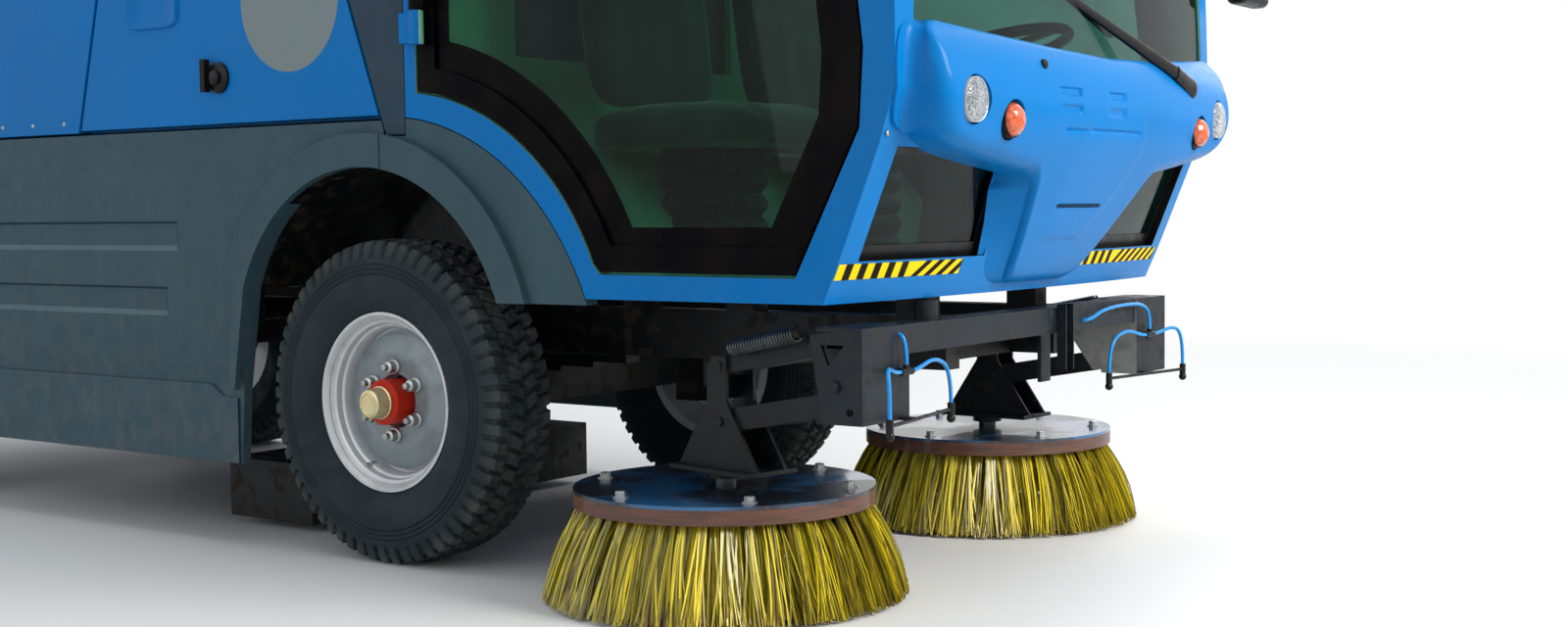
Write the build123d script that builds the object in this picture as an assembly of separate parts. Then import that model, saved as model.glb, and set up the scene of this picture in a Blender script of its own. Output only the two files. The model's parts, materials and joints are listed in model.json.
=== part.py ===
"""Compact street sweeper truck: cab over a steered front axle, two side brushes on
swinging parallelogram booms behind a front crossbeam, tipping hopper at the back.

X points forward, Y to the vehicle's left and Z up, in millimetres. While the pieces
are drawn, X counts from the front axle; the last step moves them so that the origin
lies on the ground under the middle of the whole length.
"""
import math
import os

from build123d import *

# Overall sizes
LENGTH = 4800
FRONT_OVERHANG = 1630
WHEELBASE = 2250
HALF_WIDTH = 787
MIRROR_REACH = 1100
FRONT_AXLE_X = LENGTH / 2 - FRONT_OVERHANG
REAR_END = FRONT_OVERHANG - LENGTH
SEAT_GAP = 0.3

# Wheels and steering
TYRE_RADIUS = 400
TYRE_WIDTH = 215
TYRE_MID_Y = 655.5
RIM_RADIUS = 206
RIM_WALL = 9
RIM_FLANGE_RADIUS = 222
RIM_HALF_WIDTH = 84
HUB_RADIUS = 62
HUB_NOSE_RADIUS = 38
HUB_NOSE_Y = 789
WHEEL_DISC_Y = 700
WHEEL_DISC_THICK = 12
STUD_COUNT = 6
STUD_CIRCLE = 170
STUD_RADIUS = 11
STUD_LENGTH = 34
SPINDLE_RADIUS = 28
SPINDLE_CLEARANCE = 0.05
KINGPIN_Y = 540
KINGPIN_RADIUS = 20
KNUCKLE_HALF_HEIGHT = 68
FORK_CLEARANCE = 1.0

# Chassis
RAIL_INNER_Y = 235
RAIL_OUTER_Y = 295
RAIL_BOTTOM = 500
RAIL_TOP = 620
RAIL_REAR_X = REAR_END + 60
CROSSMEMBER_XS = (1180, 560, -480, -1100, -1760, REAR_END + 570, REAR_END + 100)
CROSSMEMBER_DEPTH = 60
OUTRIGGER_XS = (-620, -1040, -1500, REAR_END + 270)
OUTRIGGER_HALF = 30
AXLE_HALF = 40
AXLE_TUBE_RADIUS = 48
DRIVE_HOUSING_RADIUS = 115
SPRING_HALF_LENGTH = 400
SPRING_LEAVES = 3
LEAF_THICK = 14

# Cab
CAB_REAR = 150
CAB_FLOOR = 670
CAB_TOP = 2080
CAB_WALL = 42
FRONT_BOW_RADIUS = 7000
SCREEN_BASE = (1503, 1170)
SCREEN_MIDDLE = (1478, 1640)
SCREEN_TOP = (1400, 2080)
CAB_LOWER_FRONT = ((1330, 670), (1368, 753), (1466, 990), (1500, 1098))
SCREEN_HALF_BOTTOM = 728
SCREEN_HALF_TOP = 700
SCREEN_SIDE_Z = 1232
SCREEN_CENTRE_Z = 1192
SCREEN_HEAD_Z = 2015
CORNER_WINDOW = ((726, 756), (726, 985), (296, 985), (262, 756))
REAR_WINDOW_HALF = 450
REAR_WINDOW_Z = (1250, 1900)
GLASS_THICK = 8
SCREEN_DEPTH = 6
CORNER_DEPTH = 24
FENDER_ARC = (76, 418, 675)
FENDER_GAP = 3
ROOF_HEIGHT = 100
ROOF_EDGE = 24

# Cab doors: outline of the dark glazed door, its lower rear corner cut by an arc
DOOR_REAR = 192
DOOR_ARC_CENTRE = (119, 490)
DOOR_ARC_RADIUS = 662
DOOR_ARC_END = (731, 751)
DOOR_CORNERS = ((746, 730), (1259, 728), (1414, 1024), (1424, 1180), (1327, 1990))
DOOR_HEAD = 1990
DOOR_GAP = 6
DOOR_THICK = 36
DOOR_BORDER = 58
DOOR_GLASS_THICK = 8
HINGE_OUTSTAND = 20
HINGE_X = 213
HINGE_RADIUS = 17
HINGE_HEIGHT = 78
HINGE_ZS = (1255, 1800)
HINGE_GAP = 0.5

# Steering column, its foot and top as X and Z
STEERING_FOOT = (1260, 726)
STEERING_TOP = (1130, 1240)
STEERING_Y = 310
STEERING_RADIUS = 190
STEERING_BOSS = 34

# Nose panel under the windscreen, as (ahead of the axle, height) on the middle line
NOSE_BAND = ((1490, 1226), (1560, 1226), (1596, 1196), (1623, 1130), (1630, 1070),
             (1619, 1008), (1588, 962), (1490, 952))
NOSE_KEEL = ((1330, 1010), (1619, 1008), (1588, 962), (1433, 712), (1408, 688), (1330, 688))
KEEL_HALF_TOP = 285
KEEL_HALF_BOTTOM = 176
KEEL_TOP_Z = 985
NOSE_HALF_WIDTH = 750
NOSE_CORNER_RADIUS = 120
HEADLAMP = (631, 1077, 46)
INDICATOR = (489, 1041, 38)
LAMP_DEPTH = 60
LAMP_FIT = 0.3

# Wiper: pivot and tip as Y and height, and how far the tip lies behind the pivot
WIPER_PIVOT = (430, 1150)
WIPER_TIP = (-260, 1385, 60)
WIPER_RADIUS = 13

# Mirrors
MIRROR_FOOT = (1455, 1560)
MIRROR_HEAD_X = (1500, 1560)
MIRROR_HEAD_Z = (1400, 1760)
MIRROR_HEAD_WIDTH = 185
MIRROR_ARM_RADIUS = 11
MIRROR_ROUND = 20

# Lower side panels
PANEL_TOP = 1084
PANEL_BOTTOM = 217
PANEL_THICK = 40
PANEL_STEP_Z = (478, 424)
PANEL_STEP_IN = 14
PANEL_REAR = REAR_END + 155
REAR_PANEL_BOTTOM = 470
ARCH_CENTRE_Z = 498
ARCH_RADIUS = 476
ARCH_REAR_PATH = ((-435, 674), (-480, 412), (-495, 217))
REAR_ARCH_HALF = 486
FENDER_SEAM = 78
FLARE_WIDTH = 82
FLARE_PROUD = 18
LINER_THICK = 8
LINER_INNER_Y = 345
REAR_LINER_INNER_Y = 535
FENDER_FOOT_Z = 656
FENDER_STAY = 30
RIB_RECESSES = ((847, 769, -717), (673, 596, -767))
RIB_DEPTH = 9

# Engine housing with its two side doors, and the intake columns behind the cab
HOUSING_BOTTOM = 1091
HOUSING_TOP = 2010
HOUSING_REAR = (-1131, -888)
HOUSING_FRONT = ((66, 1091), (-58, 1430), (-58, 2010))
HOUSING_WALL = 40
SERVICE_DOOR_THICK = 34
SERVICE_DOOR_GAP = 6
SERVICE_HINGE_Z = 1966
SERVICE_HINGE_XS = (-780, -240)
SERVICE_HINGE_RADIUS = 10
SERVICE_HINGE_OUT = 11
SERVICE_HINGE_LENGTH = 60
SERVICE_LEAF = (4, 34)
HOUSING_POST_XS = (-620, -1040)
HOUSING_POST_Y = 640
LATCH = (-562, 1220)
COLUMN_BOTTOM = 1048
COLUMN_INNER_Y = 600
COLUMN_GAP = 3
LOUVRE_COUNT = 9
LOUVRE_Z = (1500, 1960)
ENGINE_X = (-820, -150)
ENGINE_Z = (760, 1450)
ENGINE_HALF_WIDTH = 300
ENGINE_FOOT = 60

# Hopper, its rear door and its tipping cylinder
HOPPER_GAP = 7
HOPPER_TOP = 2150
HOPPER_REAR = REAR_END + 110
HOPPER_WALL = 40
TUB_HALF_WIDTH = 520
TUB_BOTTOM = 800
TUB_FRONT = -1250
TIP_PIVOT = (HOPPER_REAR + 100, 755)
TIP_PIN_RADIUS = 20
PIN_CLEARANCE = 0.3
REST_POST = (-1400, 60)
REAR_DOOR_THICK = 52
REAR_DOOR_GAP = 5
REAR_DOOR_HINGE_Z = HOPPER_TOP - 10
REAR_DOOR_HINGE_BACK = 17
REAR_DOOR_HINGE_RADIUS = 14
REAR_DOOR_HINGE_Y = 520
REAR_DOOR_HINGE_HALF = 40
DOOR_RIB_COUNT = 4
CYLINDER_HANGER_X = REAR_END + 570
CYLINDER_BASE = (CYLINDER_HANGER_X - 90, 290)
CYLINDER_EYE = (CYLINDER_HANGER_X - 110, 670)
CYLINDER_RADIUS = 38
ROD_RADIUS = 20
EYE_RADIUS = 28
CYLINDER_END_GAP = 48
CLEVIS_HALF_GAP = 44
CLEVIS_THICK = 15

# Suction nozzle and duct
NOZZLE_X = (-820, -480)
NOZZLE_HALF_WIDTH = 560
NOZZLE_Z = (25, 190)
DUCT_RADIUS = 95
DUCT_WALL = 8
DUCT_ROUTE = ((-620, 190), (-620, 400), (-1000, 700), (-1243, 860))

# Front crossbeam and end boxes
BEAM_X = (1330, 1396)
BEAM_Z = (560, 622)
BOX_OUTER_Y = 753
BOX_INNER_Y = 570
BOX_FRONT = 1400
BOX_Z = (425, 622)
BOX_PLATE = 8
BOX_SIDE_REAR = ((1273, 607), (1303, 425))
BOX_WINDOW = ((1300, 587), (1357, 587), (1318, 544))
GUARD_HOLE = (1370, 452, 8)
INNER_PLATE = ((1396, 562), (1212, 562), (1212, 520), (1275, 433), (1396, 433))
SWING_X = 1330
SWING_Y = 660
SWING_PIN_RADIUS = 16
SWING_TUBE_RADIUS = 28

# Booms, drawn pointing to the back of a swing pin at X = 0, Y = 0
BOOM_ANGLES = {"right": -13.0, "left": -2.7}
LINK_PIVOT_X = -68
LINK_PIVOT_ZS = (575, 452)
LINK_LENGTH = 330
LINK_SLOPE = 10
LINK_EYE_RADIUS = 22
LINK_PIN_RADIUS = 11
LINK_HALF_WIDTH = 34
LINK_DEPTHS = (34, 52)
FORK_HALF_GAP = 36
FORK_PLATE = 8
BRUSH_REACH = 430
HEAD_TOP = 540
HEAD_BOTTOM = 292
HEAD_FOOT_FRONT = -268
HEAD_FOOT_REAR = -536
HEAD_WAIST_Z = 440
HEAD_CHAMFER = 20
MOTOR_RADIUS = 48
MOTOR_TOP = 350
BOOM_SPRING = ((-340, 560), (-112, 604))
BOOM_SPRING_Y = -58
BOOM_SPRING_RADIUS = 16
BOOM_SPRING_GROOVE = 4
BOOM_SPRING_TURNS = 13
BOOM_SPRING_PIN = 6

# Brushes
DISC_TOP = 250
DISC_PLATE = 9
DISC_RADIUS = 340
RING_HEIGHT = 40
RING_INNER_RADIUS = 255
BRISTLE_TOP_RADIUS = 326
BRISTLE_TOP_INNER = 262
BRISTLE_TIP_RADIUS = 413
BRISTLE_TIP_INNER = 335
BRISTLE_TIP_Z = 4
BRISTLE_BAND = 6
TUFT_COUNT = 36
TUFT_ROOT_FILL = 0.74
TUFT_TIP_FILL = 0.9
SHAFT_RADIUS = 24

# Spray hoses in front of the end boxes
HOSE_RADIUS = 4.5
HOSE_BEND = 24
FEED_BEND = 12
NOZZLE_BAR_Z = 428
NOZZLE_TOP = 442
NOZZLE_BALL = 10
OUTER_NOZZLE = (1456, -740)
INNER_NOZZLE = (1402, -400)
TEE = (1418, -612, 527)
TEE_HALF = 22
TEE_RADIUS = 8
FEED_TOP = 541

# Rear bumper and lamps
BUMPER_X = (REAR_END, REAR_END + 60)
BUMPER_HALF_WIDTH = 740
BUMPER_Z = (450, 600)
TAIL_LAMP_Y = (702, 782)
TAIL_LAMP_HEIGHT = 130
TOW_EYE_Z = 405
TOW_EYE_RADIUS = 16
TOW_EYE_OUTER = 29
TOW_EYE_THICK = 30


def block(x, y, z):
    """Box from a (low, high) pair on each axis."""
    pairs = (x, y, z)
    middle = [(low + high) / 2 for low, high in pairs]
    size = [abs(high - low) for low, high in pairs]
    return Pos(*middle) * Box(*size)


def outline(start, *steps):
    """Closed flat face: a step is a point for a line, or (through, end) for an arc."""
    edges = []
    here = start
    for step in steps:
        if isinstance(step[0], tuple):
            edges.append(ThreePointArc(here, step[0], step[1]))
            here = step[1]
        else:
            edges.append(Line(here, step))
            here = step
    if here != start:
        edges.append(Line(here, start))
    return make_face(edges)


def side_slab(face, y_low, y_high):
    """Extrude a face drawn in X and Z across the vehicle."""
    plane = Plane(origin=(0, y_low, 0), x_dir=(1, 0, 0), z_dir=(0, -1, 0))
    return extrude(plane * face, amount=y_high - y_low, dir=(0, 1, 0))


def front_slab(face, x_low, x_high):
    """Extrude a face drawn in Y and Z along the vehicle."""
    plane = Plane(origin=(x_low, 0, 0), x_dir=(0, 1, 0), z_dir=(1, 0, 0))
    return extrude(plane * face, amount=x_high - x_low, dir=(1, 0, 0))


def rod_x(y, z, radius, low, high):
    """Round bar along X."""
    return Pos((low + high) / 2, y, z) * Rot(0, 90, 0) * Cylinder(radius, high - low)


def rod_y(x, z, radius, low, high):
    """Round bar along Y."""
    return Pos(x, (low + high) / 2, z) * Rot(90, 0, 0) * Cylinder(radius, high - low)


def rod_z(x, y, radius, low, high):
    """Round bar along Z."""
    return Pos(x, y, (low + high) / 2) * Cylinder(radius, high - low)


def bar(start, end, radius):
    """Round bar between two points."""
    line = Vector(*end) - Vector(*start)
    return extrude(Plane(origin=start, z_dir=line) * Circle(radius), amount=line.length)


def both_sides(shape):
    """The shape and its mirror image on the other side of the vehicle."""
    return shape + mirror(shape, about=Plane.XZ)


def on_side(shape, side):
    """A shape drawn for the right side, or its mirror image for the left."""
    return shape if side == "right" else mirror(shape, about=Plane.XZ)


def arc_point(centre, radius, degrees):
    """Point of a circle at an angle from its first axis."""
    turn = math.radians(degrees)
    return (centre[0] + radius * math.cos(turn), centre[1] + radius * math.sin(turn))


def bow(y):
    """How far the bowed front falls back at a distance from the middle line."""
    return FRONT_BOW_RADIUS - math.sqrt(FRONT_BOW_RADIUS ** 2 - y ** 2)


def swept_front(face):
    """Turn a middle-line profile about the upright axis that bows the cab's front."""
    axis_x = SCREEN_BASE[0] + bow(HALF_WIDTH) - FRONT_BOW_RADIUS
    axis = Axis((axis_x, 0, 0), (0, 0, 1))
    rear_radius = FRONT_BOW_RADIUS - (SCREEN_BASE[0] - CAB_REAR)
    half = math.degrees(math.atan2(HALF_WIDTH, rear_radius)) + 1
    upright = Plane.XZ * face
    return revolve(upright.rotate(axis, -half), axis, revolution_arc=2 * half)


# Wheels

def tyre(x, side):
    """Round tyre with shoulders down to the rim's bead seats."""
    half = TYRE_WIDTH / 2
    bead = RIM_RADIUS + SEAT_GAP
    seat = RIM_HALF_WIDTH - RIM_WALL - SEAT_GAP
    over_flange = RIM_FLANGE_RADIUS + 6
    bulge = (RIM_FLANGE_RADIUS + TYRE_RADIUS) / 2 - 18
    face = outline(
        (-seat, bead),
        (seat, bead),
        (seat, over_flange),
        ((half, bulge), (half - 9, TYRE_RADIUS - 42)),
        (half - 16, TYRE_RADIUS - 14),
        (half - 34, TYRE_RADIUS),
        (-half + 34, TYRE_RADIUS),
        (-half + 16, TYRE_RADIUS - 14),
        (-half + 9, TYRE_RADIUS - 42),
        ((-half, bulge), (-seat, over_flange)),
    )
    ring = revolve(Plane.YZ * face, Axis.Y)
    return on_side(Pos(x, -TYRE_MID_Y, TYRE_RADIUS) * ring, side)


def rim(x, side):
    """Dished steel rim, wheel disc with its nuts, and the hub with its cap."""
    edge = RIM_HALF_WIDTH
    wall = RIM_WALL
    section = outline(
        (-edge, RIM_FLANGE_RADIUS),
        (-edge + wall, RIM_FLANGE_RADIUS),
        (-edge + wall, RIM_RADIUS),
        (edge - wall, RIM_RADIUS),
        (edge - wall, RIM_FLANGE_RADIUS),
        (edge, RIM_FLANGE_RADIUS),
        (edge, RIM_RADIUS - wall),
        (-edge, RIM_RADIUS - wall),
    )
    barrel = revolve(Plane.YZ * section, Axis.Y)
    disc_y = -(WHEEL_DISC_Y - TYRE_MID_Y)
    disc = rod_y(0, 0, RIM_RADIUS - 1, disc_y, disc_y + WHEEL_DISC_THICK)
    hub_face = disc_y - 2
    hub = rod_y(0, 0, HUB_RADIUS, hub_face, 78)
    nose = rod_y(0, 0, HUB_NOSE_RADIUS, TYRE_MID_Y - HUB_NOSE_Y, hub_face)
    wheel = barrel + disc + hub + nose
    for index in range(STUD_COUNT):
        stud_x, stud_z = arc_point((0, 0), STUD_CIRCLE / 2, index * 360 / STUD_COUNT)
        wheel += rod_y(stud_x, stud_z, STUD_RADIUS, disc_y - STUD_LENGTH, disc_y)
    wheel -= rod_y(0, 0, SPINDLE_RADIUS + SPINDLE_CLEARANCE, hub_face, 90)
    return on_side(Pos(x, -TYRE_MID_Y, TYRE_RADIUS) * wheel, side)


def knuckle(side):
    """Steering knuckle: kingpin boss, spindle into the hub and steering arm."""
    z = TYRE_RADIUS
    boss = rod_z(0, -KINGPIN_Y, 34, z - KNUCKLE_HALF_HEIGHT, z + KNUCKLE_HALF_HEIGHT)
    pin = rod_z(0, -KINGPIN_Y, KINGPIN_RADIUS, z - 112, z + 112)
    spindle = rod_y(0, z, SPINDLE_RADIUS, -WHEEL_DISC_Y + 4, -KINGPIN_Y)
    collar = rod_y(0, z, 46, -TYRE_MID_Y + 82, -KINGPIN_Y)
    arm = block((-150, 0), (-KINGPIN_Y - 12, -KINGPIN_Y + 12), (z - 60, z - 36))
    return on_side(boss + pin + spindle + collar + arm, side)


# Chassis

def leaf_spring(axle_x, y):
    """Stack of leaves under a rail with an eye block at each end."""
    width = (y - 26, y + 26)
    top = RAIL_BOTTOM - 8
    spring = block((axle_x - 40, axle_x + 40), width, (TYRE_RADIUS, RAIL_BOTTOM))
    for leaf in range(SPRING_LEAVES):
        half = SPRING_HALF_LENGTH - leaf * 110
        high = top - leaf * LEAF_THICK
        spring += block((axle_x - half, axle_x + half), width, (high - LEAF_THICK, high))
    for end in (-1, 1):
        eye_x = axle_x + end * (SPRING_HALF_LENGTH - 20)
        spring += block((eye_x - 20, eye_x + 20), width, (top - LEAF_THICK, RAIL_BOTTOM))
    return spring


def axles():
    """Steered front axle with forked ends, driven rear axle, and their springs."""
    z = TYRE_RADIUS
    rail_y = (RAIL_INNER_Y + RAIL_OUTER_Y) / 2
    fork_reach = KINGPIN_Y + 36
    half_height = KNUCKLE_HALF_HEIGHT + FORK_CLEARANCE
    beam = block((-AXLE_HALF, AXLE_HALF), (-KINGPIN_Y + 44, 0), (z - 45, z + 45))
    upright = block((-AXLE_HALF, AXLE_HALF), (-KINGPIN_Y + 44, -KINGPIN_Y + 74), (z - 105, z + 105))
    ear = block((-AXLE_HALF, AXLE_HALF), (-fork_reach, -KINGPIN_Y + 74), (0, 105 - KNUCKLE_HALF_HEIGHT))
    fork = upright + Pos(0, 0, z + half_height) * ear
    fork += Pos(0, 0, z - half_height - (105 - KNUCKLE_HALF_HEIGHT)) * ear
    fork -= rod_z(0, -KINGPIN_Y, KINGPIN_RADIUS + PIN_CLEARANCE, z - 120, z + 120)
    front = both_sides(beam + fork)
    rear_x = -WHEELBASE
    rear = rod_y(rear_x, z, AXLE_TUBE_RADIUS, -TYRE_MID_Y + 84, TYRE_MID_Y - 84)
    rear += rod_y(rear_x, z, SPINDLE_RADIUS, -WHEEL_DISC_Y + 4, WHEEL_DISC_Y - 4)
    rear += rod_y(rear_x, z, DRIVE_HOUSING_RADIUS, -130, 130)
    for axle_x in (0, rear_x):
        pair = both_sides(leaf_spring(axle_x, -rail_y))
        if axle_x == 0:
            front += pair
        else:
            rear += pair
    return front + rear


def chassis_frame():
    """Two rails with crossmembers, panel outriggers, hopper pivots and cylinder foot."""
    rail = block((RAIL_REAR_X, BEAM_X[0]), (-RAIL_OUTER_Y, -RAIL_INNER_Y), (RAIL_BOTTOM, RAIL_TOP))
    frame = both_sides(rail)
    for x in CROSSMEMBER_XS:
        frame += block((x - 30, x + 30), (-RAIL_INNER_Y, RAIL_INNER_Y),
                       (RAIL_BOTTOM, RAIL_BOTTOM + CROSSMEMBER_DEPTH))
    panel_y = HALF_WIDTH - PANEL_THICK
    for x in OUTRIGGER_XS:
        arm = block((x - OUTRIGGER_HALF, x + OUTRIGGER_HALF), (-panel_y, -RAIL_OUTER_Y),
                    (RAIL_BOTTOM + 20, RAIL_BOTTOM + 80))
        frame += both_sides(arm)
    for x in HOUSING_POST_XS:
        post = block((x - OUTRIGGER_HALF, x + OUTRIGGER_HALF),
                     (-HOUSING_POST_Y - OUTRIGGER_HALF, -HOUSING_POST_Y + OUTRIGGER_HALF),
                     (RAIL_BOTTOM + 20, HOUSING_BOTTOM - SEAT_GAP))
        frame += both_sides(post)
    post_x, post_size = REST_POST
    rail_y = (RAIL_INNER_Y + RAIL_OUTER_Y) / 2
    post = block((post_x - post_size / 2, post_x + post_size / 2),
                 (-rail_y - post_size / 2, -rail_y + post_size / 2), (RAIL_TOP, TUB_BOTTOM - SEAT_GAP))
    frame += both_sides(post)
    pivot_x, pivot_z = TIP_PIVOT
    ear = block((pivot_x - 45, pivot_x + 45), (-RAIL_OUTER_Y, -RAIL_OUTER_Y + 20), (RAIL_TOP, pivot_z))
    ear += rod_y(pivot_x, pivot_z, 45, -RAIL_OUTER_Y, -RAIL_OUTER_Y + 20)
    ear += rod_y(pivot_x, pivot_z, TIP_PIN_RADIUS, -RAIL_OUTER_Y, -RAIL_INNER_Y)
    frame += both_sides(ear)
    for mount_x in (1240, 760):
        pad = block((mount_x - 40, mount_x + 40), (-RAIL_OUTER_Y, -RAIL_INNER_Y), (RAIL_TOP, CAB_FLOOR))
        frame += both_sides(pad)
    base_x, base_z = CYLINDER_BASE
    inner = CLEVIS_HALF_GAP
    outer = CLEVIS_HALF_GAP + CLEVIS_THICK
    hanger = outline((base_x - 26, base_z), (base_x + 26, base_z), (CYLINDER_HANGER_X + 30, RAIL_BOTTOM),
                     (CYLINDER_HANGER_X - 30, RAIL_BOTTOM))
    foot = side_slab(hanger, -outer, -inner) + rod_y(base_x, base_z, 30, -outer, -inner)
    frame += both_sides(foot)
    frame += rod_y(base_x, base_z, LINK_PIN_RADIUS, -outer, outer)
    return frame


def engine_block():
    """Plain block of the engine on its four feet."""
    engine = block(ENGINE_X, (-ENGINE_HALF_WIDTH, ENGINE_HALF_WIDTH), ENGINE_Z)
    rail_y = (RAIL_INNER_Y + RAIL_OUTER_Y) / 2
    for x in (ENGINE_X[0] + ENGINE_FOOT, ENGINE_X[1] - ENGINE_FOOT):
        foot = block((x - ENGINE_FOOT / 2, x + ENGINE_FOOT / 2),
                     (-rail_y - ENGINE_FOOT / 2, -rail_y + ENGINE_FOOT / 2), (RAIL_TOP, ENGINE_Z[0]))
        engine += both_sides(foot)
    return engine


# Cab

def cab_profile(back):
    """Middle-line profile of the cab's front, set back by a distance."""
    lead = bow(HALF_WIDTH) - back
    lower = [(x + lead, z) for x, z in CAB_LOWER_FRONT]
    base, middle, top = [(x + lead, z) for x, z in (SCREEN_BASE, SCREEN_MIDDLE, SCREEN_TOP)]
    return outline((0, CAB_FLOOR), *lower, base, (middle, top), (0, CAB_TOP))


def cab_solid(inset):
    """Cab body drawn in by an inset on every side, above its wheel arch."""
    side = HALF_WIDTH - inset
    arc_x, arc_z, arc_radius = FENDER_ARC
    body = swept_front(cab_profile(inset))
    body &= block((CAB_REAR + inset, FRONT_OVERHANG), (-side, side), (CAB_FLOOR + inset, CAB_TOP - inset))
    return body - rod_y(arc_x, arc_z, arc_radius + inset, -HALF_WIDTH - 1, HALF_WIDTH + 1)


def door_outline(grow):
    """Outline of a cab door in X and Z, grown or shrunk all round."""
    start = arc_start()
    first = math.degrees(math.atan2(start[1] - DOOR_ARC_CENTRE[1], start[0] - DOOR_ARC_CENTRE[0]))
    rise = DOOR_ARC_END[1] - DOOR_ARC_CENTRE[1]
    last = math.degrees(math.atan2(rise, DOOR_ARC_END[0] - DOOR_ARC_CENTRE[0]))
    middle = arc_point(DOOR_ARC_CENTRE, DOOR_ARC_RADIUS, (first + last) / 2)
    end = arc_point(DOOR_ARC_CENTRE, DOOR_ARC_RADIUS, last)
    face = outline(start, (middle, end), *DOOR_CORNERS, (DOOR_REAR, DOOR_HEAD))
    return offset(face, amount=grow) if grow else face


def arc_start():
    """Where the door's rear edge meets its curved lower edge."""
    rise = math.sqrt(DOOR_ARC_RADIUS ** 2 - (DOOR_REAR - DOOR_ARC_CENTRE[0]) ** 2)
    return (DOOR_REAR, DOOR_ARC_CENTRE[1] + rise)


def screen_outline(grow):
    """Windscreen in Y and Z, its lower edge dipping to the middle."""
    bottom = SCREEN_HALF_BOTTOM + grow
    top = SCREEN_HALF_TOP + grow
    low = SCREEN_SIDE_Z - grow
    return outline((-bottom, low), ((0, SCREEN_CENTRE_Z - grow), (bottom, low)),
                   (top, SCREEN_HEAD_Z + grow), (-top, SCREEN_HEAD_Z + grow))


def corner_window_slab(grow):
    """Lower front corner windows as one pair of prisms through the front."""
    face = offset(outline(*CORNER_WINDOW), amount=grow) if grow else outline(*CORNER_WINDOW)
    return both_sides(front_slab(face, SCREEN_TOP[0] - 200, FRONT_OVERHANG))


def cab_shell():
    """Hollow cab body with door, windscreen, corner and rear window openings."""
    shell = cab_solid(0) - cab_solid(CAB_WALL)
    door_hole = side_slab(door_outline(DOOR_GAP), -HALF_WIDTH - 1, -HALF_WIDTH + CAB_WALL + 1)
    shell -= both_sides(door_hole)
    shell -= front_slab(screen_outline(0), SCREEN_TOP[0] - 200, FRONT_OVERHANG)
    shell -= corner_window_slab(0)
    back_wall = (CAB_REAR - 1, CAB_REAR + CAB_WALL + 1)
    shell -= block(back_wall, (-REAR_WINDOW_HALF, REAR_WINDOW_HALF), REAR_WINDOW_Z)
    for z in HINGE_ZS:
        y = -HALF_WIDTH - HINGE_OUTSTAND
        lug = rod_z(HINGE_X, y, HINGE_RADIUS, z, z + HINGE_HEIGHT)
        lug += block((DOOR_REAR - DOOR_GAP - 26, HINGE_X), (y - 5, y + 5), (z + 4, z + HINGE_HEIGHT - 4))
        lug += block((DOOR_REAR - DOOR_GAP - 26, DOOR_REAR - DOOR_GAP), (y - 5, -HALF_WIDTH + 4),
                     (z + 4, z + HINGE_HEIGHT - 4))
        shell += both_sides(lug)
    return shell


def cab_glass():
    """Bonded windscreen, lower corner windows and rear window."""
    def skin(depth):
        return swept_front(cab_profile(depth)) - swept_front(cab_profile(depth + GLASS_THICK))
    front = block((SCREEN_TOP[0] - 200, FRONT_OVERHANG), (-HALF_WIDTH, HALF_WIDTH), (CAB_FLOOR, CAB_TOP))
    opening = front_slab(screen_outline(-SEAT_GAP), SCREEN_TOP[0] - 200, FRONT_OVERHANG)
    screen = skin(SCREEN_DEPTH) & front & opening
    corners = skin(CORNER_DEPTH) & front & corner_window_slab(-SEAT_GAP)
    inner = SEAT_GAP
    rear = block((CAB_REAR + 12, CAB_REAR + 12 + GLASS_THICK),
                 (-REAR_WINDOW_HALF + inner, REAR_WINDOW_HALF - inner),
                 (REAR_WINDOW_Z[0] + inner, REAR_WINDOW_Z[1] - inner))
    return screen + corners + rear


def cab_roof():
    """Roof moulding with rounded edges and a fixed base for the beacon."""
    half = HALF_WIDTH - 20
    roof = block((CAB_REAR - 20, SCREEN_TOP[0] + 30), (-half, half), (CAB_TOP, CAB_TOP + ROOF_HEIGHT))
    roof = fillet(roof.edges().filter_by(Axis.Z), 90)
    return fillet(roof.faces().sort_by(Axis.Z)[-1].edges(), ROOF_EDGE)


def door_frame(side):
    """Dark door frame with its window opening, hinge knuckles and pull handle."""
    low = -HALF_WIDTH
    frame = side_slab(door_outline(0), low, low + DOOR_THICK)
    frame -= side_slab(door_outline(-DOOR_BORDER), low - 1, low + DOOR_THICK + 1)
    for z in HINGE_ZS:
        y = low - HINGE_OUTSTAND
        bottom = z + HINGE_HEIGHT + HINGE_GAP
        top = bottom + HINGE_HEIGHT
        frame += rod_z(HINGE_X, y, HINGE_RADIUS, bottom, top)
        frame += block((HINGE_X, HINGE_X + 26), (y - 5, y + 5), (bottom + 4, top - 4))
        frame += block((HINGE_X + 16, HINGE_X + 26), (y - 5, low + 4), (bottom + 4, top - 4))
    return on_side(frame, side)


def door_glass(side):
    """Pane inside a door's frame."""
    low = -HALF_WIDTH + 10
    pane = side_slab(door_outline(-DOOR_BORDER - SEAT_GAP), low, low + DOOR_GLASS_THICK)
    return on_side(pane, side)


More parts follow.
